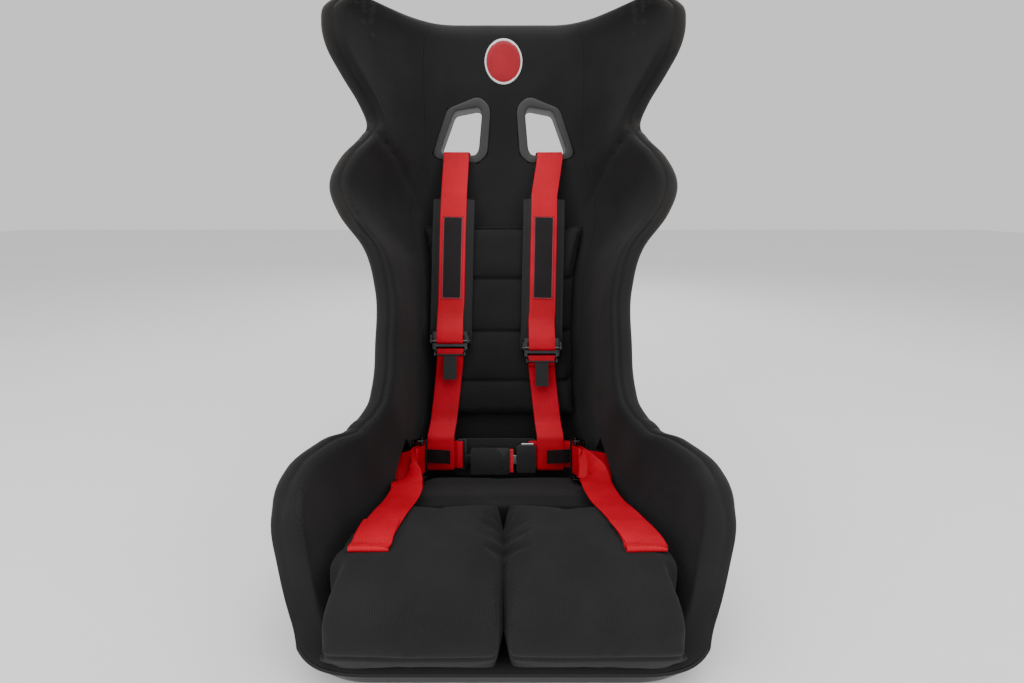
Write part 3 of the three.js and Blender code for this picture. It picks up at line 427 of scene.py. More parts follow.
TAB = finish_material("Tab leather", (0.003, 0.003, 0.0035), (0.009, 0.009, 0.010), 0.42, 0.35, 0.0004, coat=0.1,
                      broad=60.0, fine=900.0, specular=0.3)
BUTTON = finish_material("Button red", (0.48, 0.004, 0.012), (0.70, 0.012, 0.022), 0.32, 0.1, 0.0002, coat=0.2)
BADGE_RED = finish_material("Badge red", (0.26, 0.001, 0.007), (0.42, 0.002, 0.014), 0.4, 0.12, 0.0002, coat=0.2,
                            specular=0.3)
BADGE_RIM = finish_material("Badge rim", (0.62, 0.62, 0.64), (0.82, 0.82, 0.84), 0.3, 0.08, 0.0002, coat=0.3)


# Camera, floor and studio
def set_stage():
    camera = bpy.data.cameras.new("camera")
    camera.sensor_width = 36
    camera.lens = 36 * 500 / 1024
    camera.shift_x = 0.0083
    camera.shift_y = 0.005
    eye = bpy.data.objects.new("camera", camera)
    eye.location = (0, -0.756, 0.5707)
    eye.rotation_euler = (math.radians(90) - RECLINE, 0, 0)
    bpy.context.collection.objects.link(eye)
    bpy.context.scene.camera = eye

    bm = bmesh.new()
    bmesh.ops.create_grid(bm, x_segments=4, y_segments=4, size=9)
    floor = finish_mesh("floor", bm)
    floor.data.materials.append(finish_material("Pale floor", (0.80, 0.80, 0.80), (0.84, 0.84, 0.84), 0.8, 0.02, 0.001,
                                                broad=1.5, fine=30.0))

    world = bpy.data.worlds.new("studio")
    bpy.context.scene.world = world
    world.use_nodes = True
    world.node_tree.nodes["Background"].inputs["Color"].default_value = (1, 1, 1, 1)
    world.node_tree.nodes["Background"].inputs["Strength"].default_value = 0.9
    lamps = [
        ("overhead", (0.0, -0.5, 2.6), 2.4, 40, (0, 0.1, 0.3)),
        ("left_front", (-2.2, -1.8, 1.7), 1.8, 30, (0, 0, 0.4)),
        ("right_front", (2.3, -1.5, 1.5), 1.6, 22, (0, 0, 0.4)),
        ("rear_rim", (0.4, 2.3, 1.9), 1.6, 20, (0, 0.2, 0.5)),
    ]
    for name, spot, size, power, aim in lamps:
        light = bpy.data.lights.new(name, "AREA")
        light.energy = power
        light.size = size
        lamp = bpy.data.objects.new(name, light)
        lamp.location = spot
        lamp.rotation_euler = (Vector(aim) - Vector(spot)).to_track_quat("-Z", "Y").to_euler()
        bpy.context.collection.objects.link(lamp)


# Belt slots in the back and the flanks
SLOT_TILT = math.radians(4)
BEZEL_OUTLINE = [(25, 739), (36, 754), (51, 761), (110, 739), (141, 658), (137, 649), (126, 645), (51, 638), (32, 655)]
SLOT_OUTLINE = [(42, 732), (48, 743), (97, 734), (125, 664), (119, 655), (56, 653), (49, 663)]
SLOT_CLEARANCE = 3.5
CORNER = 9
RING_POINTS = 96
LAP_TILT = math.radians(35)
LAP_REACH = (90, 330)
LAP_CLEARANCE = 3.6


def on_slot(side, x, z, depth):
    """A point of the slot plane, at a depth behind it."""
    return Vector((
        side * x,
        303 + (z - 634) * math.sin(SLOT_TILT) + depth * math.cos(SLOT_TILT),
        634 + (z - 634) * math.cos(SLOT_TILT) - depth * math.sin(SLOT_TILT),
    ))


def grown(outline, grow):
    """The outline with each corner moved away from its middle."""
    cx = sum(p[0] for p in outline) / len(outline)
    cz = sum(p[1] for p in outline) / len(outline)
    result = []
    for x, z in outline:
        length = math.hypot(x - cx, z - cz)
        result.append((x + (x - cx) / length * grow, z + (z - cz) / length * grow))
    return result


def even_loop(outline, radius=CORNER):
    """The outline with rounded corners, as points at even angles round its middle."""
    path = []
    for i, p in enumerate(outline):
        before, after = Vector(outline[i - 1]), Vector(outline[(i + 1) % len(outline)])
        p = Vector(p)
        a = p + (before - p).normalized() * min(radius, (before - p).length * 0.45)
        b = p + (after - p).normalized() * min(radius, (after - p).length * 0.45)
        for k in range(7):
            t = k / 6
            path.append(a * (1 - t) ** 2 + p * 2 * t * (1 - t) + b * t * t)
    centre = sum((Vector(p) for p in outline), Vector((0, 0))) / len(outline)
    loop = []
    for k in range(RING_POINTS):
        angle = 2 * math.pi * k / RING_POINTS
        ray = Vector((math.cos(angle), math.sin(angle)))
        reach = 0
        for a, b in zip(path, path[1:] + path[:1]):
            edge = b - a
            cross = ray.x * edge.y - ray.y * edge.x
            if abs(cross) < 1e-9:
                continue
            off = a - centre
            along = (off.x * edge.y - off.y * edge.x) / cross
            share = (off.x * ray.y - off.y * ray.x) / cross
            if -1e-6 <= share <= 1 + 1e-6:
                reach = max(reach, along)
        loop.append(centre + ray * reach)
    return loop


def slot_plug(side, outline, front, back):
    """The space of a shoulder slot between two depths."""
    return grid("slot_plug", [[on_slot(side, x, z, d) for x, z in outline] for d in (front, back)])


def lap_plug(side, x0, x1, grow):
    """The space of a lap slot through the flank."""
    turn = Matrix.Translation(Vector((side * (x0 + x1) / 2, 22, 122)) * MM) @ Matrix.Rotation(LAP_TILT, 4, "X")
    return cuboid("lap_plug", (x1 - x0, 62 + 2 * grow, 15 + 2 * grow), turn)


def steps(start, end, count):
    """Evenly spaced values from start to end."""
    return [start + (end - start) * i / (count - 1) for i in range(count)]


def rows_between(start, end, pace):
    """Distances along the spine, closer together where the padding rounds off at the seat's ends."""
    count = max(int((end - start) / pace), 2)
    rows = steps(start, end, count + 1)
    near = [d for d in (1, 3, 6, 10, 15, 22) if d < pace * 3]
    rows += [start + d for d in near if start < 1] + [end - d for d in near if end > LENGTH - 1]
    return sorted(set(rows))


def make_shell():
    """The moulded shell with its four slots."""
    rings = []
    for s in rows_between(0, LENGTH, 10):
        st = station(s)
        shares = steps(-1, 1, 57)
        rings.append([cover_point(st, u, 0) for u in shares] + [cover_point(st, u, SHELL_WALL) for u in shares[::-1]])
    shell = grid("shell_skin", rings)
    cutters = []
    for side in (-1, 1):
        cutters.append(slot_plug(side, grown(SLOT_OUTLINE, SLOT_CLEARANCE), -20, 90))
        cutters.append(lap_plug(side, *LAP_REACH, LAP_CLEARANCE))
    carve(shell, cutters)
    dress(shell, SHELL_GLOSS, "seat", "seat_shell")


def cloth_uv(rings, half):
    """Distances over the cover, in metres, so that its weave keeps its size."""
    table = []
    along = 0
    for i, ring in enumerate(rings):
        if i:
            along += (ring[half] - rings[i - 1][half]).length * MM
        across, row = 0, []
        for j in range(len(ring) + 1):
            if j:
                across += (ring[j % len(ring)] - ring[j - 1]).length * MM
            row.append((across, along))
        table.append(row)
    return table


def make_liner(name, node, start, end):
    """The middle of the padded cover, between the bolsters."""
    rings = []
    for s in rows_between(start, end, 8):
        st = station(s)
        shares = steps(-LINER_SHARE, LINER_SHARE, 61)
        rings.append([cover_point(st, u) for u in shares] + [cover_point(st, u, BACKING) for u in shares[::-5]])
    liner = grid(name, rings, uv=cloth_uv(rings, 30))
    if node == "back_liner":
        cutters = []
        for side in (-1, 1):
            cutters.append(slot_plug(side, grown(BEZEL_OUTLINE, 0.6), -40, 5.3))
            cutters.append(slot_plug(side, grown(SLOT_OUTLINE, SLOT_CLEARANCE), -20, 90))
        carve(liner, cutters)
    dress(liner, COVER, "seat", node)


def roll_point(st, side, w):
    """The rim's roll: w runs from its inner edge, over its crest, to its foot outside the shell."""
    x, h, nx, nh = section(st, 1)
    depth = padding(st, 1)
    angle = math.pi * w
    soft = 1 - seam_pull(st[0], FACE_SPAN + ROLL_SPAN * w) / (depth / 2) * st[2]
    up = depth / 2 + depth / 2 * math.cos(angle) * (soft if angle < 1.6 else 1)
    out = 0.6 + depth / 2 * math.sin(angle) * soft
    return place(st, side, x + nx * up + nh * out, h + nh * up - nx * out)


def make_bolster(label, side, kind, start, end):
    """One flank of the padded cover, wrapped over the rim."""
    rings = []
    for s in rows_between(start, end, 7):
        st = station(s)
        face = [cover_point(st, side * t) for t in steps(BOLSTER_SHARE, 1, 30)]
        roll = [roll_point(st, side, w) for w in steps(0.03, 1, 26)]
        x, h, nx, nh = section(st, 1)
        heel = [place(st, side, x + nx * BACKING + nh * 0.6, h + nh * BACKING - nx * 0.6)]
        back = [cover_point(st, side * t, BACKING) for t in steps(0.985, BOLSTER_SHARE, 8)]
        rings.append(face + roll + heel + back)
    bolster = grid(f"{kind}_pad_{label}", rings, uv=cloth_uv(rings, 20))
    if kind != "head":
        carve(bolster, [lap_plug(side, *LAP_REACH, LAP_CLEARANCE), lap_plug(side, LAP_REACH[0], 200, 14)])
    dress(bolster, COVER, "seat", f"{kind}_bolster_{label}")
    if kind != "thigh":
        mark_suede(bolster, side)


def mark_suede(bolster, side):
    """The rim outside the seam, from the shoulders up, is covered in suede."""
    bolster.data.materials.append(SUEDE)
    lines = []
    for s in steps(SUEDE_FROM, LENGTH, 60):
        st = station(s)
        lines.append((place(st, side, *section(st, 1)[:2]), roll_point(st, side, 0.36), st))
    for face in bolster.data.polygons:
        centre = face.center / MM
        _, crest, st = min(lines, key=lambda line: (line[0] - centre).length)
        x, h, nx, nh = section(st, 1)
        outward = place(st, side, x + nh, h - nx) - place(st, side, x, h)
        if centre.z > SUEDE_LEVEL and (centre - crest).dot(outward) > 0:
            face.material_index = 1


# Cushions, filled by simulation
FILL_PRESSURE = 4
FILL_FRAMES = 20
SKIN_MERGE = 2e-5


def copy_of(node, name, whole_faces=False):
    """The solid's mesh as one skin, with its flat faces made whole where their edges are to be rounded."""
    bm = bmesh.new()
    bm.from_mesh(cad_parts[node].data)
    bmesh.ops.remove_doubles(bm, verts=bm.verts, dist=SKIN_MERGE)
    if whole_faces:
        bmesh.ops.dissolve_limit(bm, angle_limit=math.radians(0.5), verts=bm.verts, edges=bm.edges)
    return finish_mesh(name, bm)


def swell(obj, voxel, cap, shrink):
    """Fills the piece as its foam does: even mesh, drawn in a little, blown up as cloth and held to a cap."""
    even = obj.modifiers.new("even", "REMESH")
    even.mode = "VOXEL"
    even.voxel_size = voxel * MM
    bake(obj)
    mesh = obj.data
    for vertex, normal in [(v, v.normal.copy()) for v in mesh.vertices]:
        vertex.co -= normal * shrink * MM
    smooth = obj.modifiers.new("ease", "SMOOTH")
    smooth.iterations = 12
    smooth.factor = 0.5
    bake(obj)
    mesh = obj.data
    start = [v.co.copy() for v in mesh.vertices]
    cloth = obj.modifiers.new("fill", "CLOTH")
    cloth.settings.use_pressure = True
    cloth.settings.uniform_pressure_force = FILL_PRESSURE
    cloth.settings.effector_weights.gravity = 0
    cloth.settings.quality = 4
    cloth.collision_settings.use_collision = False
    for step in range(1, FILL_FRAMES + 1):
        bpy.context.scene.frame_set(step)
    evaluated = obj.evaluated_get(bpy.context.evaluated_depsgraph_get())
    moved = [v.co.copy() for v in evaluated.data.vertices]
    obj.modifiers.clear()
    for vertex, before, after in zip(mesh.vertices, start, moved):
        shift = after - before
        if shift.length > cap * MM:
            shift.length = cap * MM
        vertex.co = before + shift
    bpy.context.scene.frame_set(1)
    finer = obj.modifiers.new("finer", "SUBSURF")
    finer.levels = finer.render_levels = 1
    bake(obj)
    for polygon in obj.data.polygons:
        polygon.use_smooth = True
    return obj


def groove(distance, depth, half):
    """How deep a rounded groove is at a distance from its middle."""
    return depth * math.exp(-((distance / half) ** 2))


def make_seat_cushions():
    """The two leg cushions and the cushion behind them."""
    for label, side in (("left", -1), ("right", 1)):
        cushion = swell(copy_of(f"seat_cushion_{label}", f"leg_cushion_{label}"), 6, 8, 2)
        for vertex in cushion.data.vertices:
            x, y, z = vertex.co / MM
            hem = groove(z - 90, 2.4, 3) if y < -300 else 0
            vertex.co.y += hem * MM
            vertex.co.z += 0.9 * noise.noise(Vector((x, y, z)) / 60) * MM
        dress(cushion, KNIT if side < 0 else KNIT_TURNED, "seat", f"seat_cushion_{label}")
    rear = swell(copy_of("seat_cushion_rear", "rear_cushion"), 6, 5, 3)
    dress(rear, KNIT, "seat", "seat_cushion_rear")


# Heights of the sewn channels up the back
CHANNELS = (230, 127.6, 24.6, -73.7, -160)


def make_back_cushion():
    cushion = swell(copy_of("back_cushion", "back_pad"), 5, 6, 3)
    normals = [v.normal.copy() for v in cushion.data.vertices]
    for vertex, normal in zip(cushion.data.vertices, normals):
        if normal.y > -0.2:
            continue
        v = (vertex.co.z / MM - 298) / math.cos(RECLINE)
        near = min(abs(v - channel) for channel in CHANNELS)
        pull = groove(near, 4.5, 4) + groove(near, 3.0, 16)
        vertex.co -= normal * (pull - 1.0) * MM
    dress(cushion, KNIT, "seat", "back_cushion")


# Harness: places on the back are x, the height v up the back and the level n out from it
UP = Vector((0, math.sin(RECLINE), math.cos(RECLINE)))
OUT = Vector((0, -math.cos(RECLINE), math.sin(RECLINE)))
SIDEWAYS = Vector((1, 0, 0))
BACK_ORIGIN = Vector((0, 164.4, 298))
BACK_FRAME = Matrix((SIDEWAYS, UP, OUT)).transposed().to_4x4()
WEB_WIDTH = 50
WEB_THICK = 1.8
REST_LEVEL = -2.1
PAD_REST = -8.2
PAD_THICK = 11
THREAD_WIDTH = 0.95
THREAD_HEIGHT = 0.7
PAD_PLACES = [286, 265, 250, 235, 218, 200, 150, 100]
HARNESS = {
    "left": {"side": -1, "slot_x": -93, "pad_x": -96, "adjuster": (-102, 9), "lap_end": -118, "lap_x": -158},
    "right": {"side": 1, "slot_x": 91, "pad_x": 79, "adjuster": (73, -4), "lap_end": 88, "lap_x": 140},
}
LAP_LEVEL = -203
LAP_LOOP = [(271.6, 112), (271.6, 88), (272.8, 81.6), (275.5, 80.2), (278.2, 81.6), (279.4, 88), (278.6, 100),
            (273, 113)]
LINK_ENDS = {
    "left": [(-90, 12.9), (-86, 14), (-80.5, 14), (-77.6, 14.6), (-76.9, 17), (-77.6, 19.4), (-80.5, 20), (-87, 19.6),
             (-92, 15.4)],
    "right": [(48, 15), (70, 15)],
}
TAIL_ROUTE = {
    "left": [(-164, -2, 123, 0.3), (-160, -22, 128, 0.75), (-156, -44, 131, 1), (-153, -66, 131, 1),
             (-156, -100, 134, 1), (-160, -140, 144, 1), (-163, -180, 153, 1), (-165, -215, 158.5, 1),
             (-165, -238, 159.5, 1)],
    "right": [(150, 3, 124, 0.35), (150, -18, 129, 0.75), (150, -42, 131, 1), (152, -66, 131, 1), (157, -100, 134, 1),
              (164, -140, 144, 1), (170, -180, 153, 1), (174, -215, 158.5, 1), (175, -238, 159.5, 1)],
}


def on_back(x, v, n):
    return BACK_ORIGIN + SIDEWAYS * x + UP * v + OUT * n


def pad_level(v):
    """The level of the strap pad's middle, which follows the back cushion and drops off above it."""
    marks = [(-300, 0), (200, 0), (235, -1), (265, -4), (300, -9)]
    for (v0, n0), (v1, n1) in zip(marks, marks[1:]):
        if v <= v1:
            break
    return PAD_REST + n0 + (n1 - n0) * (v - v0) / (v1 - v0)


def smooth_path(path, finer=5):
    """The route's points with others between them on a smooth curve, each with the direction of its width."""
    result = []
    for i in range(len(path) - 1):
        p0, p1, p2, p3 = (path[clamp(i + k, 0, len(path) - 1)][0] for k in (-1, 0, 1, 2))
        h = (p2 - p1).length
        m1 = (p2 - p0) * (h / max((p1 - p0).length + h, 1e-6))
        m2 = (p3 - p1) * (h / max((p3 - p2).length + h, 1e-6))
        count = 1 if h < 3 else finer
        for k in range(count):
            t = k / count
            point = (p1 * (2 * t**3 - 3 * t * t + 1) + m1 * (t**3 - 2 * t * t + t)
                     + p2 * (3 * t * t - 2 * t**3) + m2 * (t**3 - t * t))
            result.append((point, path[i][1].lerp(path[i + 1][1], t)))
    return result + [path[-1]]


def frames_of(path):
    """For each point of a route: the point, across, up from the face, and the distance run."""
    frames, run = [], 0
    for i, (point, side) in enumerate(path):
        before, after = path[max(i - 1, 0)][0], path[min(i + 1, len(path) - 1)][0]
        along = (after - before).normalized()
        wide = (side - along * side.dot(along)).normalized()
        if i:
            run += (point - path[i - 1][0]).length
        frames.append((point, wide, wide.cross(along), run))
    return frames


def strap(name, path, width, thick, profile):
    """Flat webbing or a pad along a route; profile gives (share across, share of the thickness) over its width."""
    frames = frames_of(smooth_path(path))
    rings, uv = [], []
    for point, wide, up, run in frames:
        top = [point + wide * (x * width / 2) + up * (f * thick / 2) for x, f in profile]
        under = [point + wide * (x * width / 2) - up * (f * thick / 2) for x, f in profile[::-1]]
        rings.append(top + under)
        places = [x for x, _ in profile] + [x for x, _ in profile[::-1]] + [profile[0][0]]
        uv.append([(x * width / 2 * MM, run * MM) for x in places])
    return grid(name, rings, uv=uv), frames


FLAT = [(-1, 0.3), (-0.985, 0.8), (-0.94, 1), (-0.5, 1), (0, 1), (0.5, 1), (0.94, 1), (0.985, 0.8), (1, 0.3)]
QUILTED = [(-1, 0.12), (-0.985, 0.34), (-0.93, 0.42), (-0.88, 0.38), (-0.82, 0.62), (-0.7, 0.9), (-0.5, 1), (0, 1),
           (0.5, 1), (0.7, 0.9), (0.82, 0.62), (0.88, 0.38), (0.93, 0.42), (0.985, 0.34), (1, 0.12)]


def run_at(frames, point):
    """The distance run at the place of the route nearest to a point."""
    return min(frames, key=lambda f: (f[0] - point).length)[3]


def on_strap(frames, run, across, lift):
    """A point over the strap at a distance run, and the direction up from its face."""
    i = 0
    while i < len(frames) - 2 and frames[i + 1][3] < run:
        i += 1
    a, b = frames[i], frames[i + 1]
    t = clamp((run - a[3]) / max(b[3] - a[3], 1e-6), 0, 1)
    return a[0].lerp(b[0], t) + a[1].lerp(b[1], t) * across + a[2].lerp(b[2], t) * lift, a[2].lerp(b[2], t)


def stitch_rows(name, frames, lines, lift, material=THREAD, length=3.4, bold=1.0):
    """Rows of thread over a strap. Each line is a list of (distance run, distance across)."""
    bm = bmesh.new()
    for line in lines:
        for (r0, x0), (r1, x1) in zip(line, line[1:]):
            count = max(int(math.hypot(r1 - r0, x1 - x0) / (length * 1.35)), 1)
            for k in range(count):
                ends = [on_strap(frames, r0 + (r1 - r0) * t, x0 + (x1 - x0) * t, lift) for t in
                        ((k + 0.13) / count, (k + 0.87) / count)]
                middle = (ends[0][0] + ends[1][0]) / 2
                along = ends[1][0] - ends[0][0]
                up = ends[0][1].normalized()
                wide = up.cross(along.normalized())
                turn = Matrix((along.normalized(), wide, up)).transposed().to_4x4()
                turn.translation = middle * MM
                made = bmesh.ops.create_icosphere(bm, subdivisions=1, radius=0.5 * MM)
                bmesh.ops.scale(bm, vec=(along.length, THREAD_WIDTH * bold, THREAD_HEIGHT), verts=made["verts"])
                bmesh.ops.transform(bm, matrix=turn, verts=made["verts"])
    add_trim(finish_mesh(name, bm, 80), material)


def box_stitch(r0, r1, half=18):
    """A square of stitches with its two diagonals."""
    square = [(r0, -half), (r1, -half), (r1, half), (r0, half), (r0, -half)]
    return [square, [(r0, -half), (r1, half)], [(r0, half), (r1, -half)]]


def make_shoulder(label, h):
    """One shoulder belt with its pad and patch, and the lower belt between its adjuster and the lap belt."""
    level = PAD_THICK / 2 + 0.6 + WEB_THICK / 2
    ax, av = h["adjuster"]

    def at_x(v):
        return h["pad_x"] + (ax - h["pad_x"]) * clamp((286 - v) / (286 - av), 0, 1)

    def local(v, n):
        return on_back(ax, av + v, REST_LEVEL + n)

    rear = [(353.6, 500), (353.6, 462), (354.8, 455.6), (357.5, 454.2), (360.2, 455.6), (361.4, 462), (361, 480),
            (359, 520), (358, 580), (358, 636), (355, 652), (347, 658.4), (325, 658.6), (304, 658), (297, 654),
            (292, 645)]
    points = [Vector((h["slot_x"], y, z)) for y, z in rear]
    points += [on_back(at_x(v), v, pad_level(v) + level) for v in [292, *PAD_PLACES[:-1], av + 75]]
    points += [local(v, n) for v, n in [
        (55, 1.8), (38, 7), (22, 13.5), (10, 15.5), (1.5, 15.5), (-1.7, 14.2), (-3, 11), (-1.7, 7.8), (1.5, 6.5),
        (12, 6.5), (24, 5.8), (35, 3.6)]]
    belt, frames = strap(f"shoulder_belt_{label}", [(p, SIDEWAYS) for p in points], WEB_WIDTH, WEB_THICK, FLAT)
    dress(belt, WEBBING, "seat", f"shoulder_strap_{label}")
    low = run_at(frames, local(45, 5))
    high = run_at(frames, on_back(at_x(av + 84), av + 84, pad_level(80) + level))
    stitch_rows(f"shoulder_stitches_{label}", frames, box_stitch(high + 4, low - 3), -1.1)

    pad_path = [(on_back(at_x(v), v, pad_level(v)), SIDEWAYS) for v in [*PAD_PLACES, 50, av - 2]]
    pad, _ = strap(f"chest_pad_{label}", pad_path, 80, PAD_THICK, QUILTED)
    dress(pad, PAD_CLOTH, "seat", f"shoulder_pad_{label}")

    patch_level = level + WEB_THICK / 2 + 0.3 + 0.5
    patch_path = [(on_back(at_x(v), v, pad_level(v) + patch_level), SIDEWAYS) for v in [*PAD_PLACES[2:-1], 92]]
    patch, patch_frames = strap(f"chest_patch_{label}", patch_path, 38, 1, FLAT)
    dress(patch, PATCH, "seat", f"pad_label_{label}")
    end = patch_frames[-1][3]
    border = [[(1.2, -17.4), (end - 1.2, -17.4), (end - 1.2, 17.4), (1.2, 17.4), (1.2, -17.4)],
              [(2.2, -18.2), (end - 0.5, -18.2), (end - 0.5, 18.2), (2.2, 18.2)]]
    stitch_rows(f"patch_edging_{label}", patch_frames, border, -0.6, EDGING, 3.0, 1.9)

    lap_x = h["lap_end"]

    def low_point(v, n):
        return on_back(ax + (lap_x - ax) * clamp((v - av + 30) / (-140 - av), 0, 1), v, n)

    lower = [low_point(v, n) for v, n in [(-143, -6.4), (-120, -10), (-90, -12.3), (-60, -11.6), (-40, -8.2)]]
    lower += [local(v, n) for v, n in [(-30, -1.9), (-17.5, -1.5), (-13.7, -1.3), (-12.7, 1.5), (-13.7, 4.3),
                                       (-17.5, 4.5), (-30, 3.4)]]
    lower += [low_point(v, n) for v, n in [
        (-40, -4.4), (-60, -8.6), (-90, -9.4), (-120, -7.2), (-143, -3.4), (-157, 8), (-170, 17.2), (-182, 17.9),
        (-203, 17.7), (-226, 17.7), (-231, 16.9), (-232.6, 15), (-231, 13.1), (-226, 12.3), (-203, 12.3),
        (-184, 12.2), (-174, 9)]]
    web, frames = strap(f"lower_belt_{label}", [(p, SIDEWAYS) for p in lower], WEB_WIDTH, WEB_THICK, FLAT)
    dress(web, WEBBING, "seat", f"lower_strap_{label}")
    start, stop = run_at(frames, low_point(-112, -8)), run_at(frames, low_point(-141, -3.6))
    stitch_rows(f"lower_stitches_{label}", frames, box_stitch(start, stop), -1.1)


def lap_matrix(h):
    """The lap adjuster's own frame."""
    heading = Vector((h["side"] * 0.25, -0.97, 0))
    heading -= UP * heading.dot(UP)
    heading.normalize()
    wide = UP * -h["side"]
    matrix = Matrix((wide, heading, wide.cross(heading))).transposed().to_4x4()
    matrix.translation = on_back(h["lap_x"], LAP_LEVEL, 51)
    return matrix


def make_lap(label, h):
    """One lap belt: the short link at the buckle, and the belt from its anchor through the flank to its free tail."""
    side = h["side"]
    matrix = lap_matrix(h)
    wide = UP * -side
    flat = Vector((-side, 0, 0))

    def local(v, n):
        return matrix @ Vector((0, v, n))

    link = [(on_back(x, LAP_LEVEL, n), wide) for x, n in LINK_ENDS[label]]
    link += [(on_back(side * 112, LAP_LEVEL, 15), wide), (on_back(h["lap_x"] - side * 13, LAP_LEVEL, 15), wide)]
    link += [(local(v, n), wide) for v, n in [
        (-31, 2.6), (-24, 4.2), (-17.5, 4.5), (-13.7, 4.3), (-12.7, 1.5), (-13.7, -1.3), (-17.5, -1.5), (-25, -1.7)]]
    piece, _ = strap(f"lap_connector_{label}", link, WEB_WIDTH, WEB_THICK, FLAT)
    dress(piece, WEBBING, "seat", f"lap_link_{label}")

    across = Vector((0, math.cos(LAP_TILT), math.sin(LAP_TILT))) * -side
    down = Vector((0, -side, 0))
    belt = [(Vector((side * x, 22, z)), down) for x, z in LAP_LOOP]
    belt += [(Vector((side * x, 22, z)), across) for x, z in ((264, 120), (254, 122), (206, 122), (184, 122))]
    belt += [(local(v, n), wide.lerp(across, t).normalized()) for v, n, t in ((36, 16.5, 0.5), (24, 16, 0.12))]
    belt += [(local(v, n), wide) for v, n in [
        (10, 15.5), (1.5, 15.5), (-1.7, 14.2), (-3, 11), (-1.7, 7.8), (1.5, 6.5), (14, 6.5), (26, 6.2)]]
    belt += [(Vector((x, y, z)), wide.lerp(flat, t).normalized()) for x, y, z, t in TAIL_ROUTE[label]]
    piece, frames = strap(f"lap_webbing_{label}", belt, WEB_WIDTH, WEB_THICK, FLAT)
    dress(piece, WEBBING, "seat", f"lap_belt_{label}")
    fold_tail(label, side, frames)


def fold_tail(label, above, frames):
    """The tail's end folded back over itself a little askew, rolled at the turn and stitched down."""
    end = frames[-1][3]
    point, wide, up, _ = frames[-1]
    along = (point - frames[-2][0]).normalized()
    path = []
    for back, lift in ((66, 1.7), (60, 2.1), (40, 2.2), (20, 2.2), (6, 2.3)):
        place_on, _ = on_strap(frames, end - back, 0, above * lift)
        path.append((place_on + wide * above * (back - 30) * 0.07, wide))
    for ahead, lift in ((0.5, 3.6), (4.0, 3.4), (5.6, 0.8), (4.0, -1.8), (0, -2.2), (-12, -2.2)):
        path.append((point + along * ahead + up * above * lift, wide))
    fold, fold_frames = strap(f"tail_fold_{label}", path, WEB_WIDTH, 1.7, FLAT)
    add_trim(fold, WEBBING)
    rows = [[(55, -22), (55, 22)], [(58, -22), (58, 22)], [(3, -23), (3, 23)]]
    stitch_rows(f"tail_stitches_{label}", fold_frames, rows, above * 1.05)


# Hardware: the solids' shapes with rounded edges
HARDWARE = {
    "buckle_cover_back": (BUCKLE, 1.2, "seat", "buckle_plastic"),
    "buckle_cover_front": (BUCKLE, 1.6, "seat", "buckle_plastic"),
    "buckle_frame": (BLACK_STEEL, 0.4, "seat", "black_steel"),
    "buckle_button": (BUTTON, 0.8, "button", "button"),
    "buckle_latch": (BLACK_STEEL, 0.3, "latch", "black_steel"),
    "tongue": (BRIGHT_STEEL, 0.5, "seat", "bright_steel"),
    "tongue_cover": (BUCKLE, 1.2, "seat", "buckle_plastic"),
}
for side_name in ("left", "right"):
    HARDWARE[f"mount_rail_{side_name}"] = (SHELL_GLOSS, 1.0, "seat", "shell")
    HARDWARE[f"lap_slot_sleeve_{side_name}"] = (BEZEL, 0.8, "seat", "bezel")
    for place_name in ("shoulder", "lap"):
        stem = f"{place_name}_{side_name}"
        HARDWARE[f"{place_name}_anchor_plate_{side_name}"] = (BLACK_STEEL, 0.5, "seat", "black_steel")
        HARDWARE[f"{stem}_adjuster"] = (BLACK_STEEL, 0.5, "seat", "black_steel")
        HARDWARE[f"{stem}_lock_bar"] = (BLACK_STEEL, 0.4, f"{stem}_bar", "black_steel")
        HARDWARE[f"{stem}_pull_tab"] = (TAB, 0.6, f"{stem}_tab", "tab")


def make_hardware():
    for node, (material, edge, body, slot) in HARDWARE.items():
        piece = copy_of(node, f"{node}_fine", True)
        piece.data.set_sharp_from_angle(angle=math.radians(30))
        bevel = piece.modifiers.new("edges", "BEVEL")
        bevel.width = edge * MM
        bevel.segments = 3
        bevel.limit_method = "ANGLE"
        bevel.angle_limit = math.radians(35)
        even = piece.modifiers.new("even", "WEIGHTED_NORMAL")
        even.keep_sharp = True
        bake(piece)
        dress(piece, material, body, node)
    spring = copy_of("button_spring", "button_spring_fine")
    dress(spring, BRIGHT_STEEL, "seat", "button_spring")


def make_tongue_bar():
    """The bright wire bar along the top of the tongue's cover."""
    bm = bmesh.new()
    bmesh.ops.create_cube(bm, size=1)
    bmesh.ops.scale(bm, vec=(24, 3.4, 7), verts=bm.verts)
    bmesh.ops.bevel(bm, geom=bm.edges[:], offset=1.2, segments=4, profile=0.5, affect="EDGES", material=-1)
    turn = BACK_FRAME.copy()
    turn.translation = on_back(45, -182.6, 21)
    bmesh.ops.transform(bm, matrix=turn, verts=bm.verts)
    bmesh.ops.scale(bm, vec=(MM, MM, MM), verts=bm.verts)
    add_trim(finish_mesh("tongue_bar", bm, 60), BRIGHT_STEEL)


RIB_PITCH = 8


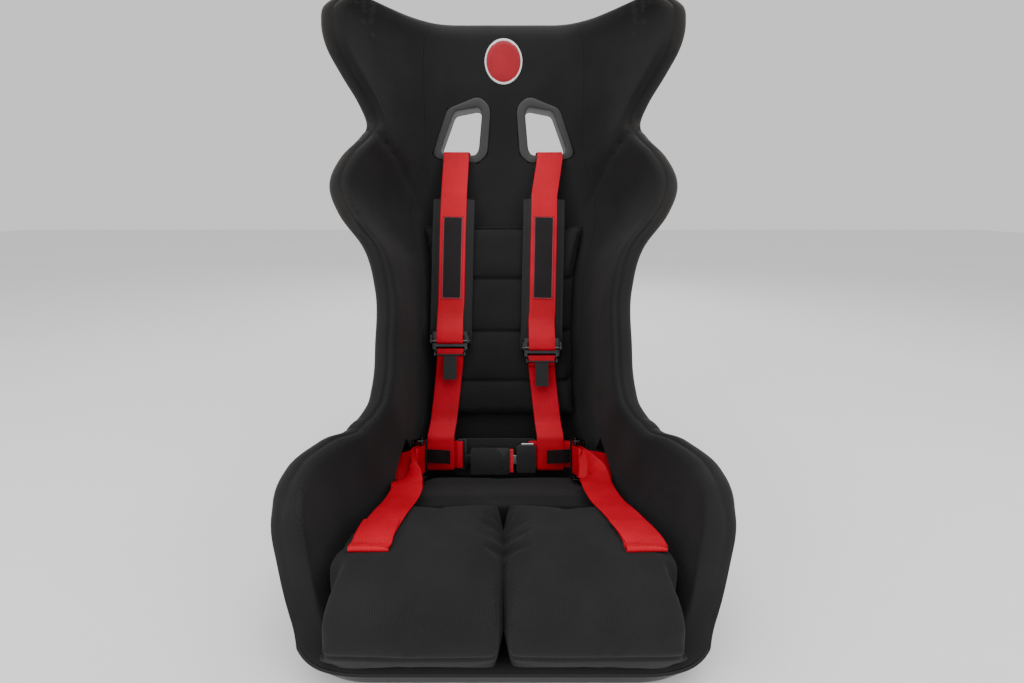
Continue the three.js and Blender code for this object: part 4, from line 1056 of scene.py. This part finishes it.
def make_buckle_pad():
    """A ribbed soft backing under the buckle."""
    bm = bmesh.new()
    bmesh.ops.create_cube(bm, size=1)
    bmesh.ops.scale(bm, vec=(158, 69, 5.4), verts=bm.verts)
    bmesh.ops.bevel(bm, geom=[e for e in bm.edges if abs((e.verts[0].co - e.verts[1].co).normalized().z) > 0.9],
                    offset=11, segments=6, profile=0.5, affect="EDGES", material=-1)
    for x in range(-72, 73, RIB_PITCH // 2):
        cut = bm.verts[:] + bm.edges[:] + bm.faces[:]
        bmesh.ops.bisect_plane(bm, geom=cut, plane_co=(x, 0, 0), plane_no=(1, 0, 0), dist=1e-4)
    for v in bm.verts:
        wave = 0.8 * math.cos(v.co.x * 2 * math.pi / RIB_PITCH)
        v.co.z += wave if v.co.z > 0 else 0
    turn = BACK_FRAME.copy()
    turn.translation = on_back(-14, -210.5, 4)
    bmesh.ops.transform(bm, matrix=turn, verts=bm.verts)
    bmesh.ops.scale(bm, vec=(MM, MM, MM), verts=bm.verts)
    bmesh.ops.recalc_face_normals(bm, faces=bm.faces)
    pad = finish_mesh("buckle_backing", bm, 50)
    dress(pad, PAD_CLOTH, "seat", "buckle_pad")


# Cross-sections of the rings round a shoulder slot: the two loops, the share between them, and the depth
OUTER, INNER, SLEEVE = 0, 1, 2
FRONT_RING = [
    (OUTER, INNER, 0, 4.8), (OUTER, INNER, 0, 1.2), (OUTER, INNER, 0.04, 0.35), (OUTER, INNER, 0.12, 0),
    (OUTER, INNER, 0.45, -0.4), (OUTER, INNER, 0.85, 0), (OUTER, INNER, 0.96, 0.5), (INNER, INNER, 0, 1.8),
    (INNER, INNER, 0, 20), (INNER, INNER, 0, 44), (SLEEVE, SLEEVE, 0, 44), (SLEEVE, SLEEVE, 0, 20),
    (SLEEVE, SLEEVE, 0, 5),
]
REAR_RING = [(OUTER, INNER, share, depth) for share, depth in (
    (0, 45), (0, 48), (0.06, 48.8), (0.2, 49), (0.9, 49), (0.98, 48.7), (1, 48), (1, 45))]


def make_bezels():
    """The plastic ring round each shoulder slot, its sleeve, and the ring at the back."""
    inner, sleeve = even_loop(SLOT_OUTLINE, CORNER - 1), even_loop(grown(SLOT_OUTLINE, 3))
    for label, side in (("left", -1), ("right", 1)):
        for name, node, outline, ring in (
            ("slot_frame", "slot_bezel_front", BEZEL_OUTLINE, FRONT_RING),
            ("slot_ring", "slot_bezel_rear", grown(BEZEL_OUTLINE, -4), REAR_RING),
        ):
            loops = (even_loop(outline), inner, sleeve)
            rows = [[on_slot(side, *loops[a][k].lerp(loops[b][k], share), depth) for a, b, share, depth in ring]
                    for k in range(RING_POINTS)]
            piece = grid(f"{name}_{label}", rows, looped=True, smooth=50)
            dress(piece, BEZEL, "seat", f"{node}_{label}")


BADGE_CENTRE = Vector((0, 317.5, 822))
BADGE_TILT = math.radians(3.5)
BADGE_HALF = (36, 40)


def make_badge():
    """A plain domed oval badge on the head pad, red inside a pale rim."""
    up = Vector((0, math.sin(BADGE_TILT), math.cos(BADGE_TILT)))
    out = Vector((0, -math.cos(BADGE_TILT), math.sin(BADGE_TILT)))
    bm = bmesh.new()
    bmesh.ops.create_circle(bm, cap_ends=True, radius=1, segments=64)
    bmesh.ops.scale(bm, vec=(*BADGE_HALF, 1), verts=bm.verts)
    for inset, rise in ((0.6, 0.5), (2.4, 0.2), (0.8, -0.35), (0.6, 0.25), (7, 0.4), (10, 0.3)):
        face = max(bm.faces, key=lambda f: f.calc_area())
        bmesh.ops.inset_individual(bm, faces=[face], thickness=inset, depth=rise, use_even_offset=True)
    turn = Matrix((SIDEWAYS, up, out)).transposed().to_4x4()
    turn.translation = BADGE_CENTRE + out * 0.7
    bmesh.ops.transform(bm, matrix=turn, verts=bm.verts)
    bmesh.ops.scale(bm, vec=(MM, MM, MM), verts=bm.verts)
    badge = finish_mesh("head_emblem", bm, 60)
    dress(badge, BADGE_RED, "seat", "head_badge")
    badge.data.materials.append(BADGE_RIM)
    for face in badge.data.polygons:
        spot = face.center / MM - BADGE_CENTRE
        reach = math.hypot(spot.x / BADGE_HALF[0], spot.dot(up) / BADGE_HALF[1])
        face.material_index = 0 if reach < 0.91 else 1


set_stage()
make_shell()
make_liner("pan_cover", "pan_liner", 0, PAN_END - JOIN_GAP)
make_liner("back_cover", "back_liner", PAN_END + JOIN_GAP, LENGTH)
for label, side in (("left", -1), ("right", 1)):
    make_bolster(label, side, "thigh", 0, THIGH_END - JOIN_GAP)
    make_bolster(label, side, "side", THIGH_END + JOIN_GAP, NECK - JOIN_GAP)
    make_bolster(label, side, "head", NECK + JOIN_GAP, LENGTH)
make_seat_cushions()
make_back_cushion()
make_bezels()
for label, h in HARNESS.items():
    make_shoulder(label, h)
    make_lap(label, h)
make_hardware()
make_tongue_bar()
make_buckle_pad()
make_badge()
